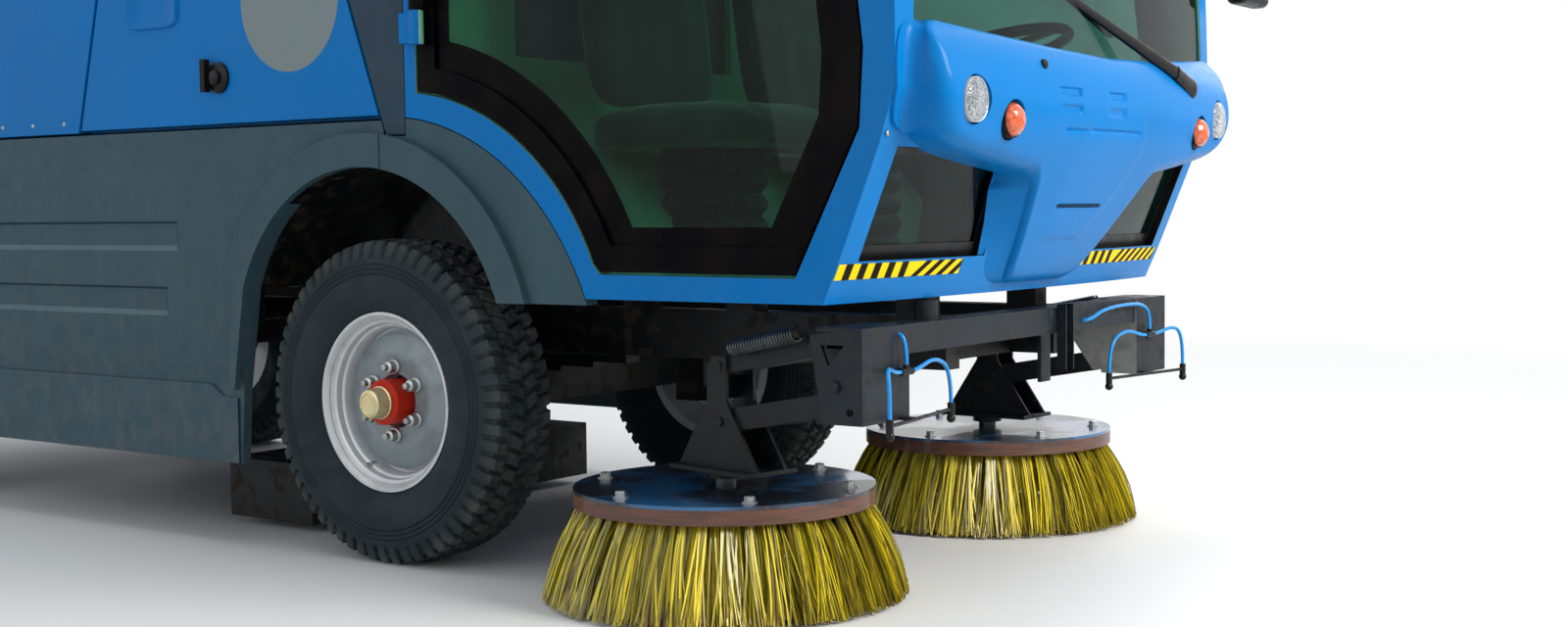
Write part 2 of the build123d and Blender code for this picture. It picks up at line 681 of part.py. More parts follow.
def nose_panel():
    """Bowed nose moulding with lamp bores, and the keel between the corner windows."""
    band = swept_front(outline(*NOSE_BAND))
    band &= block((1400, FRONT_OVERHANG), (-NOSE_HALF_WIDTH, NOSE_HALF_WIDTH), (900, 1300))
    end_x = NOSE_BAND[4][0] - bow(NOSE_HALF_WIDTH)
    centre = (end_x - NOSE_CORNER_RADIUS, -NOSE_HALF_WIDTH + NOSE_CORNER_RADIUS)
    corner = block((centre[0], FRONT_OVERHANG), (-NOSE_HALF_WIDTH - 1, centre[1]), (900, 1300))
    corner -= rod_z(centre[0], centre[1], NOSE_CORNER_RADIUS, 880, 1320)
    band -= both_sides(corner)
    slope = (KEEL_HALF_TOP - KEEL_HALF_BOTTOM) / (KEEL_TOP_Z - NOSE_KEEL[-1][1])
    top_z = NOSE_KEEL[0][1]
    top_half = KEEL_HALF_TOP + slope * (top_z - KEEL_TOP_Z)
    bottom_z = NOSE_KEEL[-1][1]
    front_view = outline((-KEEL_HALF_BOTTOM, bottom_z), (KEEL_HALF_BOTTOM, bottom_z),
                         (top_half, top_z), (-top_half, top_z))
    keel = swept_front(outline(*NOSE_KEEL)) & front_slab(front_view, 1300, FRONT_OVERHANG)
    nose = (band + keel) - swept_front(cab_profile(-SEAT_GAP))
    for y, z, radius in (HEADLAMP, INDICATOR):
        nose -= both_sides(rod_x(-y, z, radius + LAMP_FIT, lamp_seat(y), FRONT_OVERHANG + 20))
    return nose


def lamp_seat(y):
    """Where a lamp's back sits in the nose."""
    return NOSE_BAND[4][0] - bow(y) - LAMP_DEPTH


def headlamps():
    """Two round headlamps flush in the nose."""
    y, z, radius = HEADLAMP
    back = lamp_seat(y) + SEAT_GAP
    lamp = rod_x(-y, z, radius, back, back + LAMP_DEPTH - 6)
    return both_sides(lamp)


def amber_lamps():
    """Two domed indicators in the nose and a beacon on the roof."""
    y, z, radius = INDICATOR
    back = lamp_seat(y) + SEAT_GAP
    front = FRONT_OVERHANG - 2
    body = rod_x(-y, z, radius, back, front - radius * 0.45)
    dome = Pos(front - radius * 0.45, -y, z) * scale(Sphere(radius), by=(0.45, 1, 1))
    lamps = both_sides(body + dome)
    base = CAB_TOP + ROOF_HEIGHT
    beacon = rod_z(420, 0, 62, base, base + 110)
    beacon = fillet(beacon.faces().sort_by(Axis.Z)[-1].edges(), 30)
    return lamps + beacon


def wiper():
    """Single long wiper parked low across the windscreen."""
    front = FRONT_OVERHANG - WIPER_RADIUS
    y, z = WIPER_PIVOT
    tip_y, tip_z, tip_back = WIPER_TIP
    spindle = rod_x(y, z, WIPER_RADIUS, front - 60, front) + Pos(front, y, z) * Sphere(WIPER_RADIUS)
    arm = bar((front, y, z), (front - tip_back, tip_y, tip_z), WIPER_RADIUS - 5)
    ahead = [(x + SEAT_GAP, height) for x, height in NOSE_BAND]
    return spindle + arm - swept_front(outline(*ahead))


def mirrors():
    """A mirror head on a bent arm at each front corner."""
    foot_x, foot_z = MIRROR_FOOT
    low, high = MIRROR_HEAD_Z
    inner_y = -MIRROR_REACH + MIRROR_HEAD_WIDTH
    foot = (foot_x, -HALF_WIDTH - 12, foot_z)
    elbow = (sum(MIRROR_HEAD_X) / 2, inner_y - 15, (low + high) / 2)
    arm = bar(foot, elbow, MIRROR_ARM_RADIUS)
    arm += rod_y(foot_x, foot_z, 2 * MIRROR_ARM_RADIUS, foot[1] - 4, -HALF_WIDTH)
    head = block(MIRROR_HEAD_X, (-MIRROR_REACH, inner_y), MIRROR_HEAD_Z)
    head = fillet(head.edges(), MIRROR_ROUND)
    return both_sides(arm + head)


def seats():
    """Two seats with their pedestals, on the cab floor behind the wheel arch hump."""
    floor = CAB_FLOOR + CAB_WALL
    seat = block((640, 760), (-420, -180), (floor, 1010))
    cushion = fillet(block((480, 950), (-540, -80), (1010, 1120)).edges(), 30)
    back_face = outline((470, 1120), (580, 1120), (480, 1760), (390, 1760))
    back = fillet(side_slab(back_face, -530, -90).edges(), 24)
    arc_x, arc_z, arc_radius = FENDER_ARC
    hump = rod_y(arc_x, arc_z, arc_radius + CAB_WALL + SEAT_GAP, -HALF_WIDTH, HALF_WIDTH)
    return both_sides(seat + cushion + back - hump)


def dashboard():
    """Dashboard console against the front wall, and the steering column."""
    face = outline((1290, 760), (1400, 1010), (1440, 1175), (1330, 1200), (1270, 1150), (1210, 760))
    console = side_slab(face, -230, 230)
    floor = block((1180, 1300), (-120, 120), (CAB_FLOOR + CAB_WALL, 790))
    floor_z = CAB_FLOOR + CAB_WALL
    foot_x, foot_z = STEERING_FOOT
    top_x, top_z = STEERING_TOP
    column = bar((foot_x, STEERING_Y, foot_z), (top_x, STEERING_Y, top_z), 34)
    column += rod_z(foot_x, STEERING_Y, 46, floor_z, foot_z + 12)
    return console + floor + column


def steering_wheel():
    """Rim, spokes and boss on top of the column."""
    foot_x, foot_z = STEERING_FOOT
    top_x, top_z = STEERING_TOP
    lean = math.atan2(foot_x - top_x, top_z - foot_z)
    lift = STEERING_BOSS / 2 + SEAT_GAP
    ring = Torus(STEERING_RADIUS, 14)
    spokes = Box(2 * STEERING_RADIUS - 10, 30, 12) + Box(30, 2 * STEERING_RADIUS - 10, 12)
    boss = Cylinder(42, STEERING_BOSS)
    place = Pos(top_x - lift * math.sin(lean), STEERING_Y, top_z + lift * math.cos(lean))
    return place * Rot(0, -math.degrees(lean), 0) * (ring + spokes + boss)


# Lower side panels

def skirt(side):
    """Lower side panel with the rear half of the front flare, the rear arch and ribs."""
    low = -HALF_WIDTH
    high = low + PANEL_THICK
    top_left = (PANEL_REAR, PANEL_TOP)
    front = FENDER_SEAM - FENDER_GAP
    arch_top = ARCH_CENTRE_Z + math.sqrt(ARCH_RADIUS ** 2 - front ** 2)
    near, mid, foot = ARCH_REAR_PATH
    through = arc_point((0, ARCH_CENTRE_Z), ARCH_RADIUS, 125)
    rear_x = -WHEELBASE
    face = outline(
        top_left, (front, PANEL_TOP), (front, arch_top), (through, near), mid, foot,
        (rear_x + REAR_ARCH_HALF + 12, PANEL_BOTTOM),
        (rear_x + REAR_ARCH_HALF, ARCH_CENTRE_Z),
        ((rear_x, ARCH_CENTRE_Z + REAR_ARCH_HALF), (rear_x - REAR_ARCH_HALF, ARCH_CENTRE_Z)),
        (rear_x - REAR_ARCH_HALF, REAR_PANEL_BOTTOM),
        (PANEL_REAR, REAR_PANEL_BOTTOM),
    )
    panel = side_slab(face, low, high)
    step_top, step_low = PANEL_STEP_Z
    bevel = front_slab(outline((low - 1, PANEL_BOTTOM - 1), (low + PANEL_STEP_IN, PANEL_BOTTOM - 1),
                               (low + PANEL_STEP_IN, step_low), (low - 1, step_top)),
                       rear_x + REAR_ARCH_HALF - 30, foot[0] + 60)
    panel -= bevel
    for rib_top, rib_low, rib_front in RIB_RECESSES:
        rear_limit = rear_x + REAR_ARCH_HALF + 90
        panel -= block((rear_limit, rib_front), (low - 1, low + RIB_DEPTH), (rib_low, rib_top))
    panel -= column_slab(COLUMN_GAP)
    flare = side_slab(outline(*flare_points(front)), low - FLARE_PROUD, low)
    rear_flare = rod_y(rear_x, ARCH_CENTRE_Z, REAR_ARCH_HALF + FLARE_WIDTH, low - FLARE_PROUD, low)
    rear_flare -= rod_y(rear_x, ARCH_CENTRE_Z, REAR_ARCH_HALF, low - FLARE_PROUD - 1, low + 1)
    rear_flare &= block((rear_x - 800, rear_x + 800), (low - FLARE_PROUD, low), (ARCH_CENTRE_Z, PANEL_TOP))
    liner = liner_ring(0, ARCH_RADIUS, LINER_INNER_Y) & block((-800, front), (low, 0), (674, PANEL_TOP))
    rear_liner = liner_ring(rear_x, REAR_ARCH_HALF, REAR_LINER_INNER_Y)
    rear_liner &= block((rear_x - 800, rear_x + 800), (low, 0), (ARCH_CENTRE_Z, PANEL_TOP))
    return on_side(panel + flare + rear_flare + liner + rear_liner, side)


def liner_ring(centre_x, radius, inner_y):
    """Thin inner skin of a wheel arch, reaching in over the wheel."""
    ring = rod_y(centre_x, ARCH_CENTRE_Z, radius + LINER_THICK, -HALF_WIDTH + 1, -inner_y)
    return ring - rod_y(centre_x, ARCH_CENTRE_Z, radius, -HALF_WIDTH, -inner_y + 1)


def flare_points(front):
    """Rear half of the front arch's raised flare, down to the panel's foot."""
    near, mid, foot = ARCH_REAR_PATH
    outer = ARCH_RADIUS + FLARE_WIDTH
    inner_start = (front, ARCH_CENTRE_Z + math.sqrt(ARCH_RADIUS ** 2 - front ** 2))
    outer_start = (front, ARCH_CENTRE_Z + math.sqrt(outer ** 2 - front ** 2))
    outer_end = arc_point((0, ARCH_CENTRE_Z), outer, 150)
    return [inner_start, (arc_point((0, ARCH_CENTRE_Z), ARCH_RADIUS, 125), near), mid,
            (mid[0] - 22, mid[1]), outer_end,
            (arc_point((0, ARCH_CENTRE_Z), outer, 120), outer_start)]


def fender(side):
    """Front half of the front arch, under the cab's curved lower edge."""
    low = -HALF_WIDTH
    arc_x, arc_z, arc_radius = FENDER_ARC
    radius = arc_radius - FENDER_GAP
    seam = FENDER_SEAM
    inner_top = (seam, ARCH_CENTRE_Z + math.sqrt(ARCH_RADIUS ** 2 - seam ** 2))
    outer_top = (seam, arc_z + math.sqrt(radius ** 2 - (seam - arc_x) ** 2))
    foot_in = (math.sqrt(ARCH_RADIUS ** 2 - (FENDER_FOOT_Z - ARCH_CENTRE_Z) ** 2), FENDER_FOOT_Z)
    foot_out = (arc_x + math.sqrt(radius ** 2 - (FENDER_FOOT_Z - arc_z) ** 2), FENDER_FOOT_Z)
    face = outline(inner_top, (arc_point((0, ARCH_CENTRE_Z), ARCH_RADIUS, 50), foot_in),
                   foot_out, (arc_point((arc_x, arc_z), radius, 55), outer_top))
    plate = side_slab(face, low, low + PANEL_THICK) - column_slab(COLUMN_GAP)
    flare = rod_y(0, ARCH_CENTRE_Z, ARCH_RADIUS + FLARE_WIDTH, low - FLARE_PROUD, low)
    flare -= rod_y(0, ARCH_CENTRE_Z, ARCH_RADIUS, low - FLARE_PROUD - 1, low + 1)
    flare &= block((seam, 800), (low - FLARE_PROUD, low), (FENDER_FOOT_Z, PANEL_TOP))
    above_foot = block((seam, 800), (low, 0), (FENDER_FOOT_Z, PANEL_TOP))
    liner = liner_ring(0, ARCH_RADIUS, LINER_INNER_Y) & above_foot
    stay = block((foot_in[0], foot_in[0] + FENDER_STAY), (-LINER_INNER_Y - 10, -RAIL_INNER_Y - 10),
                 (RAIL_TOP + SEAT_GAP, FENDER_FOOT_Z + 12))
    return on_side(plate + flare + liner + stay, side)


# Engine housing

def housing_outline():
    """Side outline of the engine housing."""
    return outline((HOUSING_REAR[0], HOUSING_BOTTOM), *HOUSING_FRONT, (HOUSING_REAR[1], HOUSING_TOP))


def column_outline(grow):
    """Wedge of the intake column between the housing and the cab."""
    front_low, front_mid, front_top = HOUSING_FRONT
    gap = COLUMN_GAP - grow
    rear = CAB_REAR - gap
    return outline((front_low[0] + gap + 14, COLUMN_BOTTOM - grow), (rear, COLUMN_BOTTOM - grow),
                   (rear, front_top[1] + 30), (front_mid[0] + gap, front_top[1] + 30),
                   (front_mid[0] + gap, front_mid[1]))


def column_slab(grow):
    """Both intake columns as solid prisms."""
    return both_sides(side_slab(column_outline(grow), -HALF_WIDTH - grow, -COLUMN_INNER_Y))


def intake_columns():
    """Dark intake columns with a stack of louvre slots in their outer faces."""
    columns = column_slab(0)
    pitch = (LOUVRE_Z[1] - LOUVRE_Z[0]) / LOUVRE_COUNT
    for index in range(LOUVRE_COUNT):
        z = LOUVRE_Z[0] + index * pitch
        slot = block((HOUSING_FRONT[1][0] + 40, CAB_REAR - 40), (-HALF_WIDTH - 1, -HALF_WIDTH + 22),
                     (z, z + pitch * 0.55))
        columns -= both_sides(slot)
    return columns


def engine_housing():
    """Housing over the engine: roof, two end walls and low side sills."""
    outer = side_slab(housing_outline(), -HALF_WIDTH, HALF_WIDTH)
    inner = side_slab(offset(housing_outline(), amount=-HOUSING_WALL), -HALF_WIDTH - 1, HALF_WIDTH + 1)
    shell = outer - inner
    shell -= block((-1000, -60), (-500, 500), (HOUSING_BOTTOM - 1, HOUSING_BOTTOM + HOUSING_WALL + 1))
    shell -= both_sides(side_slab(service_outline(SERVICE_DOOR_GAP), -HALF_WIDTH - 1,
                                  -HALF_WIDTH + SERVICE_DOOR_THICK + SERVICE_DOOR_GAP))
    for x in SERVICE_HINGE_XS:
        shell += both_sides(service_hinge(x, True))
    return shell


def service_hinge(x_low, leaf_up):
    """One barrel of a side door's hinge with its leaf, up to the roof or down to the door."""
    axis_y = -HALF_WIDTH - SERVICE_HINGE_OUT
    x_high = x_low + SERVICE_HINGE_LENGTH
    thick, depth = SERVICE_LEAF
    low = SERVICE_HINGE_Z if leaf_up else SERVICE_HINGE_Z - depth
    leaf_z = (low, low + depth)
    leaf = block((x_low, x_high), (-HALF_WIDTH - thick, -HALF_WIDTH), leaf_z)
    return rod_x(axis_y, SERVICE_HINGE_Z, SERVICE_HINGE_RADIUS, x_low, x_high) + leaf


def service_outline(grow):
    """A side door's outline: the housing's own, under its roof's edge."""
    top = SERVICE_HINGE_Z - SERVICE_DOOR_GAP + grow
    face = offset(housing_outline(), amount=-SERVICE_DOOR_GAP + grow) if grow != SERVICE_DOOR_GAP \
        else housing_outline()
    cap = outline((HOUSING_REAR[0] - 99, HOUSING_BOTTOM - 99), (HOUSING_FRONT[0][0] + 99, HOUSING_BOTTOM - 99),
                  (HOUSING_FRONT[0][0] + 99, top), (HOUSING_REAR[0] - 99, top))
    return face & cap


def service_door(side):
    """Top-hinged side door of the engine housing with a T-handle lock."""
    low = -HALF_WIDTH
    door = side_slab(service_outline(0), low, low + SERVICE_DOOR_THICK)
    for x in SERVICE_HINGE_XS:
        door += service_hinge(x + SERVICE_HINGE_LENGTH + HINGE_GAP, False)
    lock_x, lock_z = LATCH
    door += rod_y(lock_x, lock_z, 26, low - 10, low)
    door += block((lock_x - 9, lock_x + 9), (low - 28, low - 10), (lock_z - 42, lock_z + 42))
    return on_side(door, side)


# Hopper

def hopper_outline(grow):
    """Side outline of the hopper's wide upper body."""
    front_low = HOUSING_REAR[0] - HOPPER_GAP
    lean = (HOUSING_REAR[1] - HOUSING_REAR[0]) / (HOUSING_TOP - HOUSING_BOTTOM)
    front_high = front_low + lean * (HOPPER_TOP - HOUSING_BOTTOM)
    face = outline((HOPPER_REAR, HOUSING_BOTTOM), (front_low, HOUSING_BOTTOM),
                   (front_high, HOPPER_TOP), (HOPPER_REAR, HOPPER_TOP))
    return offset(face, amount=grow) if grow else face


def tipped_duct_port():
    """Bore of the suction inlet in the tub's front wall."""
    end_x, end_z = DUCT_ROUTE[-1]
    return rod_x(0, end_z, DUCT_RADIUS - DUCT_WALL, end_x - 100, end_x + 20)


def hopper_shell():
    """Hollow hopper: wide upper body on a narrow tub, open at the back."""
    wall = HOPPER_WALL
    side = HALF_WIDTH
    upper = side_slab(hopper_outline(0), -side, side)
    tub = block((HOPPER_REAR, TUB_FRONT), (-TUB_HALF_WIDTH, TUB_HALF_WIDTH), (TUB_BOTTOM, HOUSING_BOTTOM))
    inner_upper = side_slab(hopper_outline(-wall), -side + wall, side - wall)
    inner_rear = block((HOPPER_REAR - 1, HOPPER_REAR + wall + 1), (-side + wall, side - wall),
                       (HOUSING_BOTTOM + wall, HOPPER_TOP - wall))
    inner_tub = block((HOPPER_REAR - 1, TUB_FRONT - wall), (-TUB_HALF_WIDTH + wall, TUB_HALF_WIDTH - wall),
                      (TUB_BOTTOM + wall, HOUSING_BOTTOM + wall + 1))
    shell = (upper + tub) - inner_upper - inner_rear - inner_tub - tipped_duct_port()
    pivot_x, pivot_z = TIP_PIVOT
    lug_y = (-RAIL_OUTER_Y + 25, -RAIL_INNER_Y)
    lug = block((pivot_x - 40, pivot_x + 40), lug_y, (pivot_z, TUB_BOTTOM))
    lug += rod_y(pivot_x, pivot_z, 40, *lug_y)
    lug -= rod_y(pivot_x, pivot_z, TIP_PIN_RADIUS + PIN_CLEARANCE, lug_y[0] - 1, lug_y[1] + 1)
    shell += both_sides(lug)
    eye_x, eye_z = CYLINDER_EYE
    ear_y = (-CLEVIS_HALF_GAP - 7 - CLEVIS_THICK, -CLEVIS_HALF_GAP - 7)
    ear = block((eye_x - 30, eye_x + 30), ear_y, (eye_z, TUB_BOTTOM)) + rod_y(eye_x, eye_z, 30, *ear_y)
    shell += both_sides(ear)
    hinge_x = HOPPER_REAR - REAR_DOOR_HINGE_BACK
    hinge_y = (-REAR_DOOR_HINGE_Y - REAR_DOOR_HINGE_HALF, -REAR_DOOR_HINGE_Y + REAR_DOOR_HINGE_HALF)
    barrel = rod_y(hinge_x, REAR_DOOR_HINGE_Z, REAR_DOOR_HINGE_RADIUS, *hinge_y)
    barrel += block((hinge_x, HOPPER_REAR + 2), hinge_y, (REAR_DOOR_HINGE_Z - 8, REAR_DOOR_HINGE_Z + 8))
    shell += both_sides(barrel)
    return shell


def hopper_door():
    """Rear door of the hopper with moulded cross ribs."""
    front = HOPPER_REAR - REAR_DOOR_GAP
    rear = front - REAR_DOOR_THICK
    top = REAR_DOOR_HINGE_Z - 18
    door = block((rear, front), (-HALF_WIDTH, HALF_WIDTH), (HOUSING_BOTTOM, top))
    door += block((rear, front), (-TUB_HALF_WIDTH, TUB_HALF_WIDTH), (TUB_BOTTOM + 8, HOUSING_BOTTOM))
    pitch = (top - HOUSING_BOTTOM) / (DOOR_RIB_COUNT + 1)
    for index in range(DOOR_RIB_COUNT):
        z = HOUSING_BOTTOM + (index + 0.8) * pitch
        door -= block((rear - 1, rear + 12), (-HALF_WIDTH + 130, HALF_WIDTH - 130), (z, z + pitch * 0.5))
    hinge_x = HOPPER_REAR - REAR_DOOR_HINGE_BACK
    hinge_high = -REAR_DOOR_HINGE_Y - REAR_DOOR_HINGE_HALF - HINGE_GAP
    hinge_y = (hinge_high - 2 * REAR_DOOR_HINGE_HALF, hinge_high)
    barrel = rod_y(hinge_x, REAR_DOOR_HINGE_Z, REAR_DOOR_HINGE_RADIUS, *hinge_y)
    barrel += block((hinge_x - 8, hinge_x + 8), hinge_y, (top - 10, REAR_DOOR_HINGE_Z))
    return door + both_sides(barrel)


def tip_line():
    """Base point, eye point and direction of the tipping cylinder in X and Z."""
    base = Vector(CYLINDER_BASE[0], 0, CYLINDER_BASE[1])
    eye = Vector(CYLINDER_EYE[0], 0, CYLINDER_EYE[1])
    return base, eye, (eye - base).normalized()


def tip_barrel():
    """Barrel of the tipping cylinder on its base pin."""
    base, eye, line = tip_line()
    start = base + line * 20
    end = eye - line * CYLINDER_END_GAP
    width = CLEVIS_HALF_GAP - 3
    barrel = bar(tuple(start), tuple(end), CYLINDER_RADIUS)
    barrel &= block((base.X - 200, base.X + 200), (-CYLINDER_RADIUS, CYLINDER_RADIUS), (base.Z + 40, eye.Z))
    neck = bar(tuple(start), tuple(base + line * 60), width - 2)
    eye_end = rod_y(base.X, base.Z, EYE_RADIUS, -width, width)
    barrel = barrel + neck + eye_end
    barrel -= rod_y(base.X, base.Z, LINK_PIN_RADIUS + PIN_CLEARANCE, -width - 1, width + 1)
    bore_start = base + line * 75
    return barrel - bar(tuple(bore_start), tuple(end + line * 10), ROD_RADIUS + PIN_CLEARANCE)


def tip_rod():
    """Rod of the tipping cylinder with the open eye at its top."""
    base, eye, line = tip_line()
    width = CLEVIS_HALF_GAP
    rod = bar(tuple(base + line * 85), tuple(eye), ROD_RADIUS)
    rod += rod_y(eye.X, eye.Z, EYE_RADIUS, -width, width)
    return rod - rod_y(eye.X, eye.Z, LINK_PIN_RADIUS, -width - 1, width + 1)


def rear_bumper():
    """Rear cross bumper on the ends of the rails."""
    bumper = block(BUMPER_X, (-BUMPER_HALF_WIDTH, BUMPER_HALF_WIDTH), BUMPER_Z)
    step = block((BUMPER_X[0] + 6, BUMPER_X[1] - 6), TAIL_LAMP_Y, (BUMPER_Z[1] - 40, BUMPER_Z[1]))
    eye_x = (BUMPER_X[0] + BUMPER_X[1]) / 2
    half = TOW_EYE_THICK / 2
    lug = block((eye_x - TOW_EYE_OUTER, eye_x + TOW_EYE_OUTER), (-half, half), (TOW_EYE_Z, BUMPER_Z[0]))
    lug += rod_y(eye_x, TOW_EYE_Z, TOW_EYE_OUTER, -half, half)
    lug -= rod_y(eye_x, TOW_EYE_Z, TOW_EYE_RADIUS, -half - 1, half + 1)
    return bumper + both_sides(step) + lug


def tail_lamps():
    """Upright tail lamps that stand on the bumper's ends."""
    lamp = block((REAR_END + 6, REAR_END + 42), (-TAIL_LAMP_Y[1], -TAIL_LAMP_Y[0]),
                 (BUMPER_Z[1], BUMPER_Z[1] + TAIL_LAMP_HEIGHT))
    return both_sides(lamp)


# Suction gear

def suction_nozzle():
    """Open-bottomed suction box between the axles on two hangers."""
    low, high = NOZZLE_Z
    half = NOZZLE_HALF_WIDTH
    hood = block(NOZZLE_X, (-half, half), (low, high))
    wall = 14
    inside_x = (NOZZLE_X[0] + wall, NOZZLE_X[1] - wall)
    hood -= block(inside_x, (-half + wall, half - wall), (low - 1, high - wall))
    hood -= rod_z(DUCT_ROUTE[0][0], 0, DUCT_RADIUS - DUCT_WALL, high - wall - 1, high + 1)
    rail_y = (RAIL_INNER_Y + RAIL_OUTER_Y) / 2
    hanger = block((NOZZLE_X[0] + 40, NOZZLE_X[0] + 90), (-rail_y - 12, -rail_y + 12), (high, RAIL_BOTTOM))
    return hood + both_sides(hanger)


def suction_duct():
    """Round hose from the nozzle up between the rails to the hopper's inlet."""
    points = [(x, 0, z) for x, z in DUCT_ROUTE]
    route = FilletPolyline(*points, radius=170)
    start = Plane(origin=points[0], z_dir=(0, 0, 1))
    outer = sweep(start * Circle(DUCT_RADIUS), path=route)
    inner = sweep(start * Circle(DUCT_RADIUS - DUCT_WALL), path=route)
    duct = outer - inner
    end_x = points[-1][0]
    return duct & block((end_x, 0), (-DUCT_RADIUS, DUCT_RADIUS), (NOZZLE_Z[1], ENGINE_Z[0] + 400))


# Brush gear

def end_box(side):
    """Folded end box of the crossbeam with its swing pin."""
    low_z, high_z = BOX_Z
    outer = -BOX_OUTER_Y
    inner = -BOX_INNER_Y
    plate = BOX_PLATE
    front = block((BOX_FRONT - plate, BOX_FRONT), (outer, inner), (low_z, high_z))
    rear_top, rear_low = BOX_SIDE_REAR
    cheek = outline(rear_top, (BOX_FRONT, rear_top[1] + 15), (BOX_FRONT, low_z), rear_low)
    cheek_slab = side_slab(cheek, outer, outer + plate)
    cheek_slab -= side_slab(outline(*BOX_WINDOW), outer - 1, outer + plate + 1)
    inner_slab = side_slab(outline(*INNER_PLATE), inner - plate, inner)
    inner_slab += block((BEAM_X[0], BOX_FRONT), (inner - plate, inner), (low_z, high_z))
    top = block((1290, BOX_FRONT), (outer, inner), (high_z - plate, high_z))
    floor = block((1300, BOX_FRONT), (outer, inner), (low_z, low_z + plate))
    pin = rod_z(SWING_X, -SWING_Y, SWING_PIN_RADIUS, low_z, high_z)
    bolt = rod_y(1335, 503, 12, outer - 9, outer)
    hole_x, hole_z, hole_radius = GUARD_HOLE
    cheek_slab -= rod_y(hole_x, hole_z, hole_radius, outer - 1, outer + plate + 1)
    return on_side(front + cheek_slab + inner_slab + top + floor + pin + bolt, side)


def brush_beam():
    """Crossbeam on the rails' front ends, with an end box on each side."""
    beam = block(BEAM_X, (-BOX_INNER_Y, BOX_INNER_Y), BEAM_Z)
    beam += block((BEAM_X[0] + 14, BEAM_X[0] + 24), (120, 170), (440, BEAM_Z[0]))
    beam += rod_z(1352, -419, 26, BEAM_Z[1], BEAM_Z[1] + 42)
    for side in ("right", "left"):
        beam += end_box(side)
    return beam


def place_boom(shape, side):
    """Set a boom piece on its swing pin at the angle it has when parked."""
    y = -SWING_Y if side == "right" else SWING_Y
    return Pos(SWING_X, y, 0) * Rot(0, 0, BOOM_ANGLES[side]) * shape


def eye_bar(start, end, radius, half_width, depth):
    """Flat bar in X and Z with a round eye at both ends."""
    line = Vector(end[0] - start[0], end[1] - start[1])
    angle = math.degrees(math.atan2(line.Y, line.X))
    middle = ((start[0] + end[0]) / 2, (start[1] + end[1]) / 2)
    web = Pos(middle[0], 0, middle[1]) * Rot(0, -angle, 0) * Box(line.length, 2 * half_width, depth)
    for x, z in (start, end):
        web += rod_y(x, z, radius, -half_width, half_width)
    for x, z in (start, end):
        web -= rod_y(x, z, LINK_PIN_RADIUS + PIN_CLEARANCE, -half_width - 1, half_width + 1)
    return web


def link_ends(index):
    """Front and rear pivots of the upper (0) or lower (1) link."""
    start = (LINK_PIVOT_X, LINK_PIVOT_ZS[index])
    slope = math.radians(LINK_SLOPE)
    end = (start[0] - LINK_LENGTH * math.cos(slope), start[1] - LINK_LENGTH * math.sin(slope))
    return start, end


def swing_bracket(side):
    """Tube on the swing pin with two cheek plates that carry the link pins."""
    low = BOX_Z[0] + BOX_PLATE + 1
    high = BOX_Z[1] - BOX_PLATE - 1
    tube = rod_z(0, 0, SWING_TUBE_RADIUS, low, high)
    inner = FORK_HALF_GAP
    outer = FORK_HALF_GAP + FORK_PLATE
    cheek = block((LINK_PIVOT_X, 0), (-outer, -inner), (LINK_PIVOT_ZS[1], LINK_PIVOT_ZS[0]))
    for z in LINK_PIVOT_ZS:
        cheek += rod_y(LINK_PIVOT_X, z, LINK_EYE_RADIUS, -outer, -inner)
    web = block((-34, 0), (-outer, outer), (LINK_PIVOT_ZS[1], LINK_PIVOT_ZS[0]))
    bracket = tube + both_sides(cheek) + web
    bracket -= rod_z(0, 0, SWING_PIN_RADIUS + PIN_CLEARANCE, low - 1, high + 1)
    for z in LINK_PIVOT_ZS:
        bracket += rod_y(LINK_PIVOT_X, z, LINK_PIN_RADIUS, -outer - 5, outer + 5)
    return place_boom(bracket, side)


def boom_link(index, side):
    """Upper (0) or lower (1) link of the parallelogram."""
    start, end = link_ends(index)
    link = eye_bar(start, end, LINK_EYE_RADIUS, LINK_HALF_WIDTH, LINK_DEPTHS[index])
    if index == 0:
        link += on_side(boom_spring(), side)
    return place_boom(link, side)


def boom_spring():
    """Lifting spring on two pins at the side of the upper link, drawn as a grooved round bar."""
    (rear_x, rear_z), (front_x, front_z) = BOOM_SPRING
    length = math.hypot(front_x - rear_x, front_z - rear_z)
    pitch = length / (BOOM_SPRING_TURNS + 1)
    points = [(0, 0), (BOOM_SPRING_RADIUS - BOOM_SPRING_GROOVE, 0)]
    for turn in range(BOOM_SPRING_TURNS):
        points.append((BOOM_SPRING_RADIUS, (turn + 1) * pitch))
        points.append((BOOM_SPRING_RADIUS - BOOM_SPRING_GROOVE, (turn + 1.5) * pitch))
    points += [(BOOM_SPRING_RADIUS - BOOM_SPRING_GROOVE, length), (0, length)]
    coil = revolve(Plane.XZ * outline(*points), Axis.Z)
    lean = math.degrees(math.atan2(front_x - rear_x, front_z - rear_z))
    spring = Pos(rear_x, BOOM_SPRING_Y, rear_z) * Rot(0, lean, 0) * coil
    start, end = link_ends(0)
    for x, z in BOOM_SPRING:
        share = (x - start[0]) / (end[0] - start[0])
        link_z = start[1] + share * (end[1] - start[1])
        wide = (x - BOOM_SPRING_PIN, x + BOOM_SPRING_PIN)
        leg_inner = -LINK_HALF_WIDTH + 2 * FORK_PLATE
        spring += block(wide, (BOOM_SPRING_Y, leg_inner), (z - BOOM_SPRING_PIN, z + BOOM_SPRING_PIN))
        spring += block(wide, (-LINK_HALF_WIDTH, leg_inner), (link_z, z + BOOM_SPRING_PIN))
    return spring


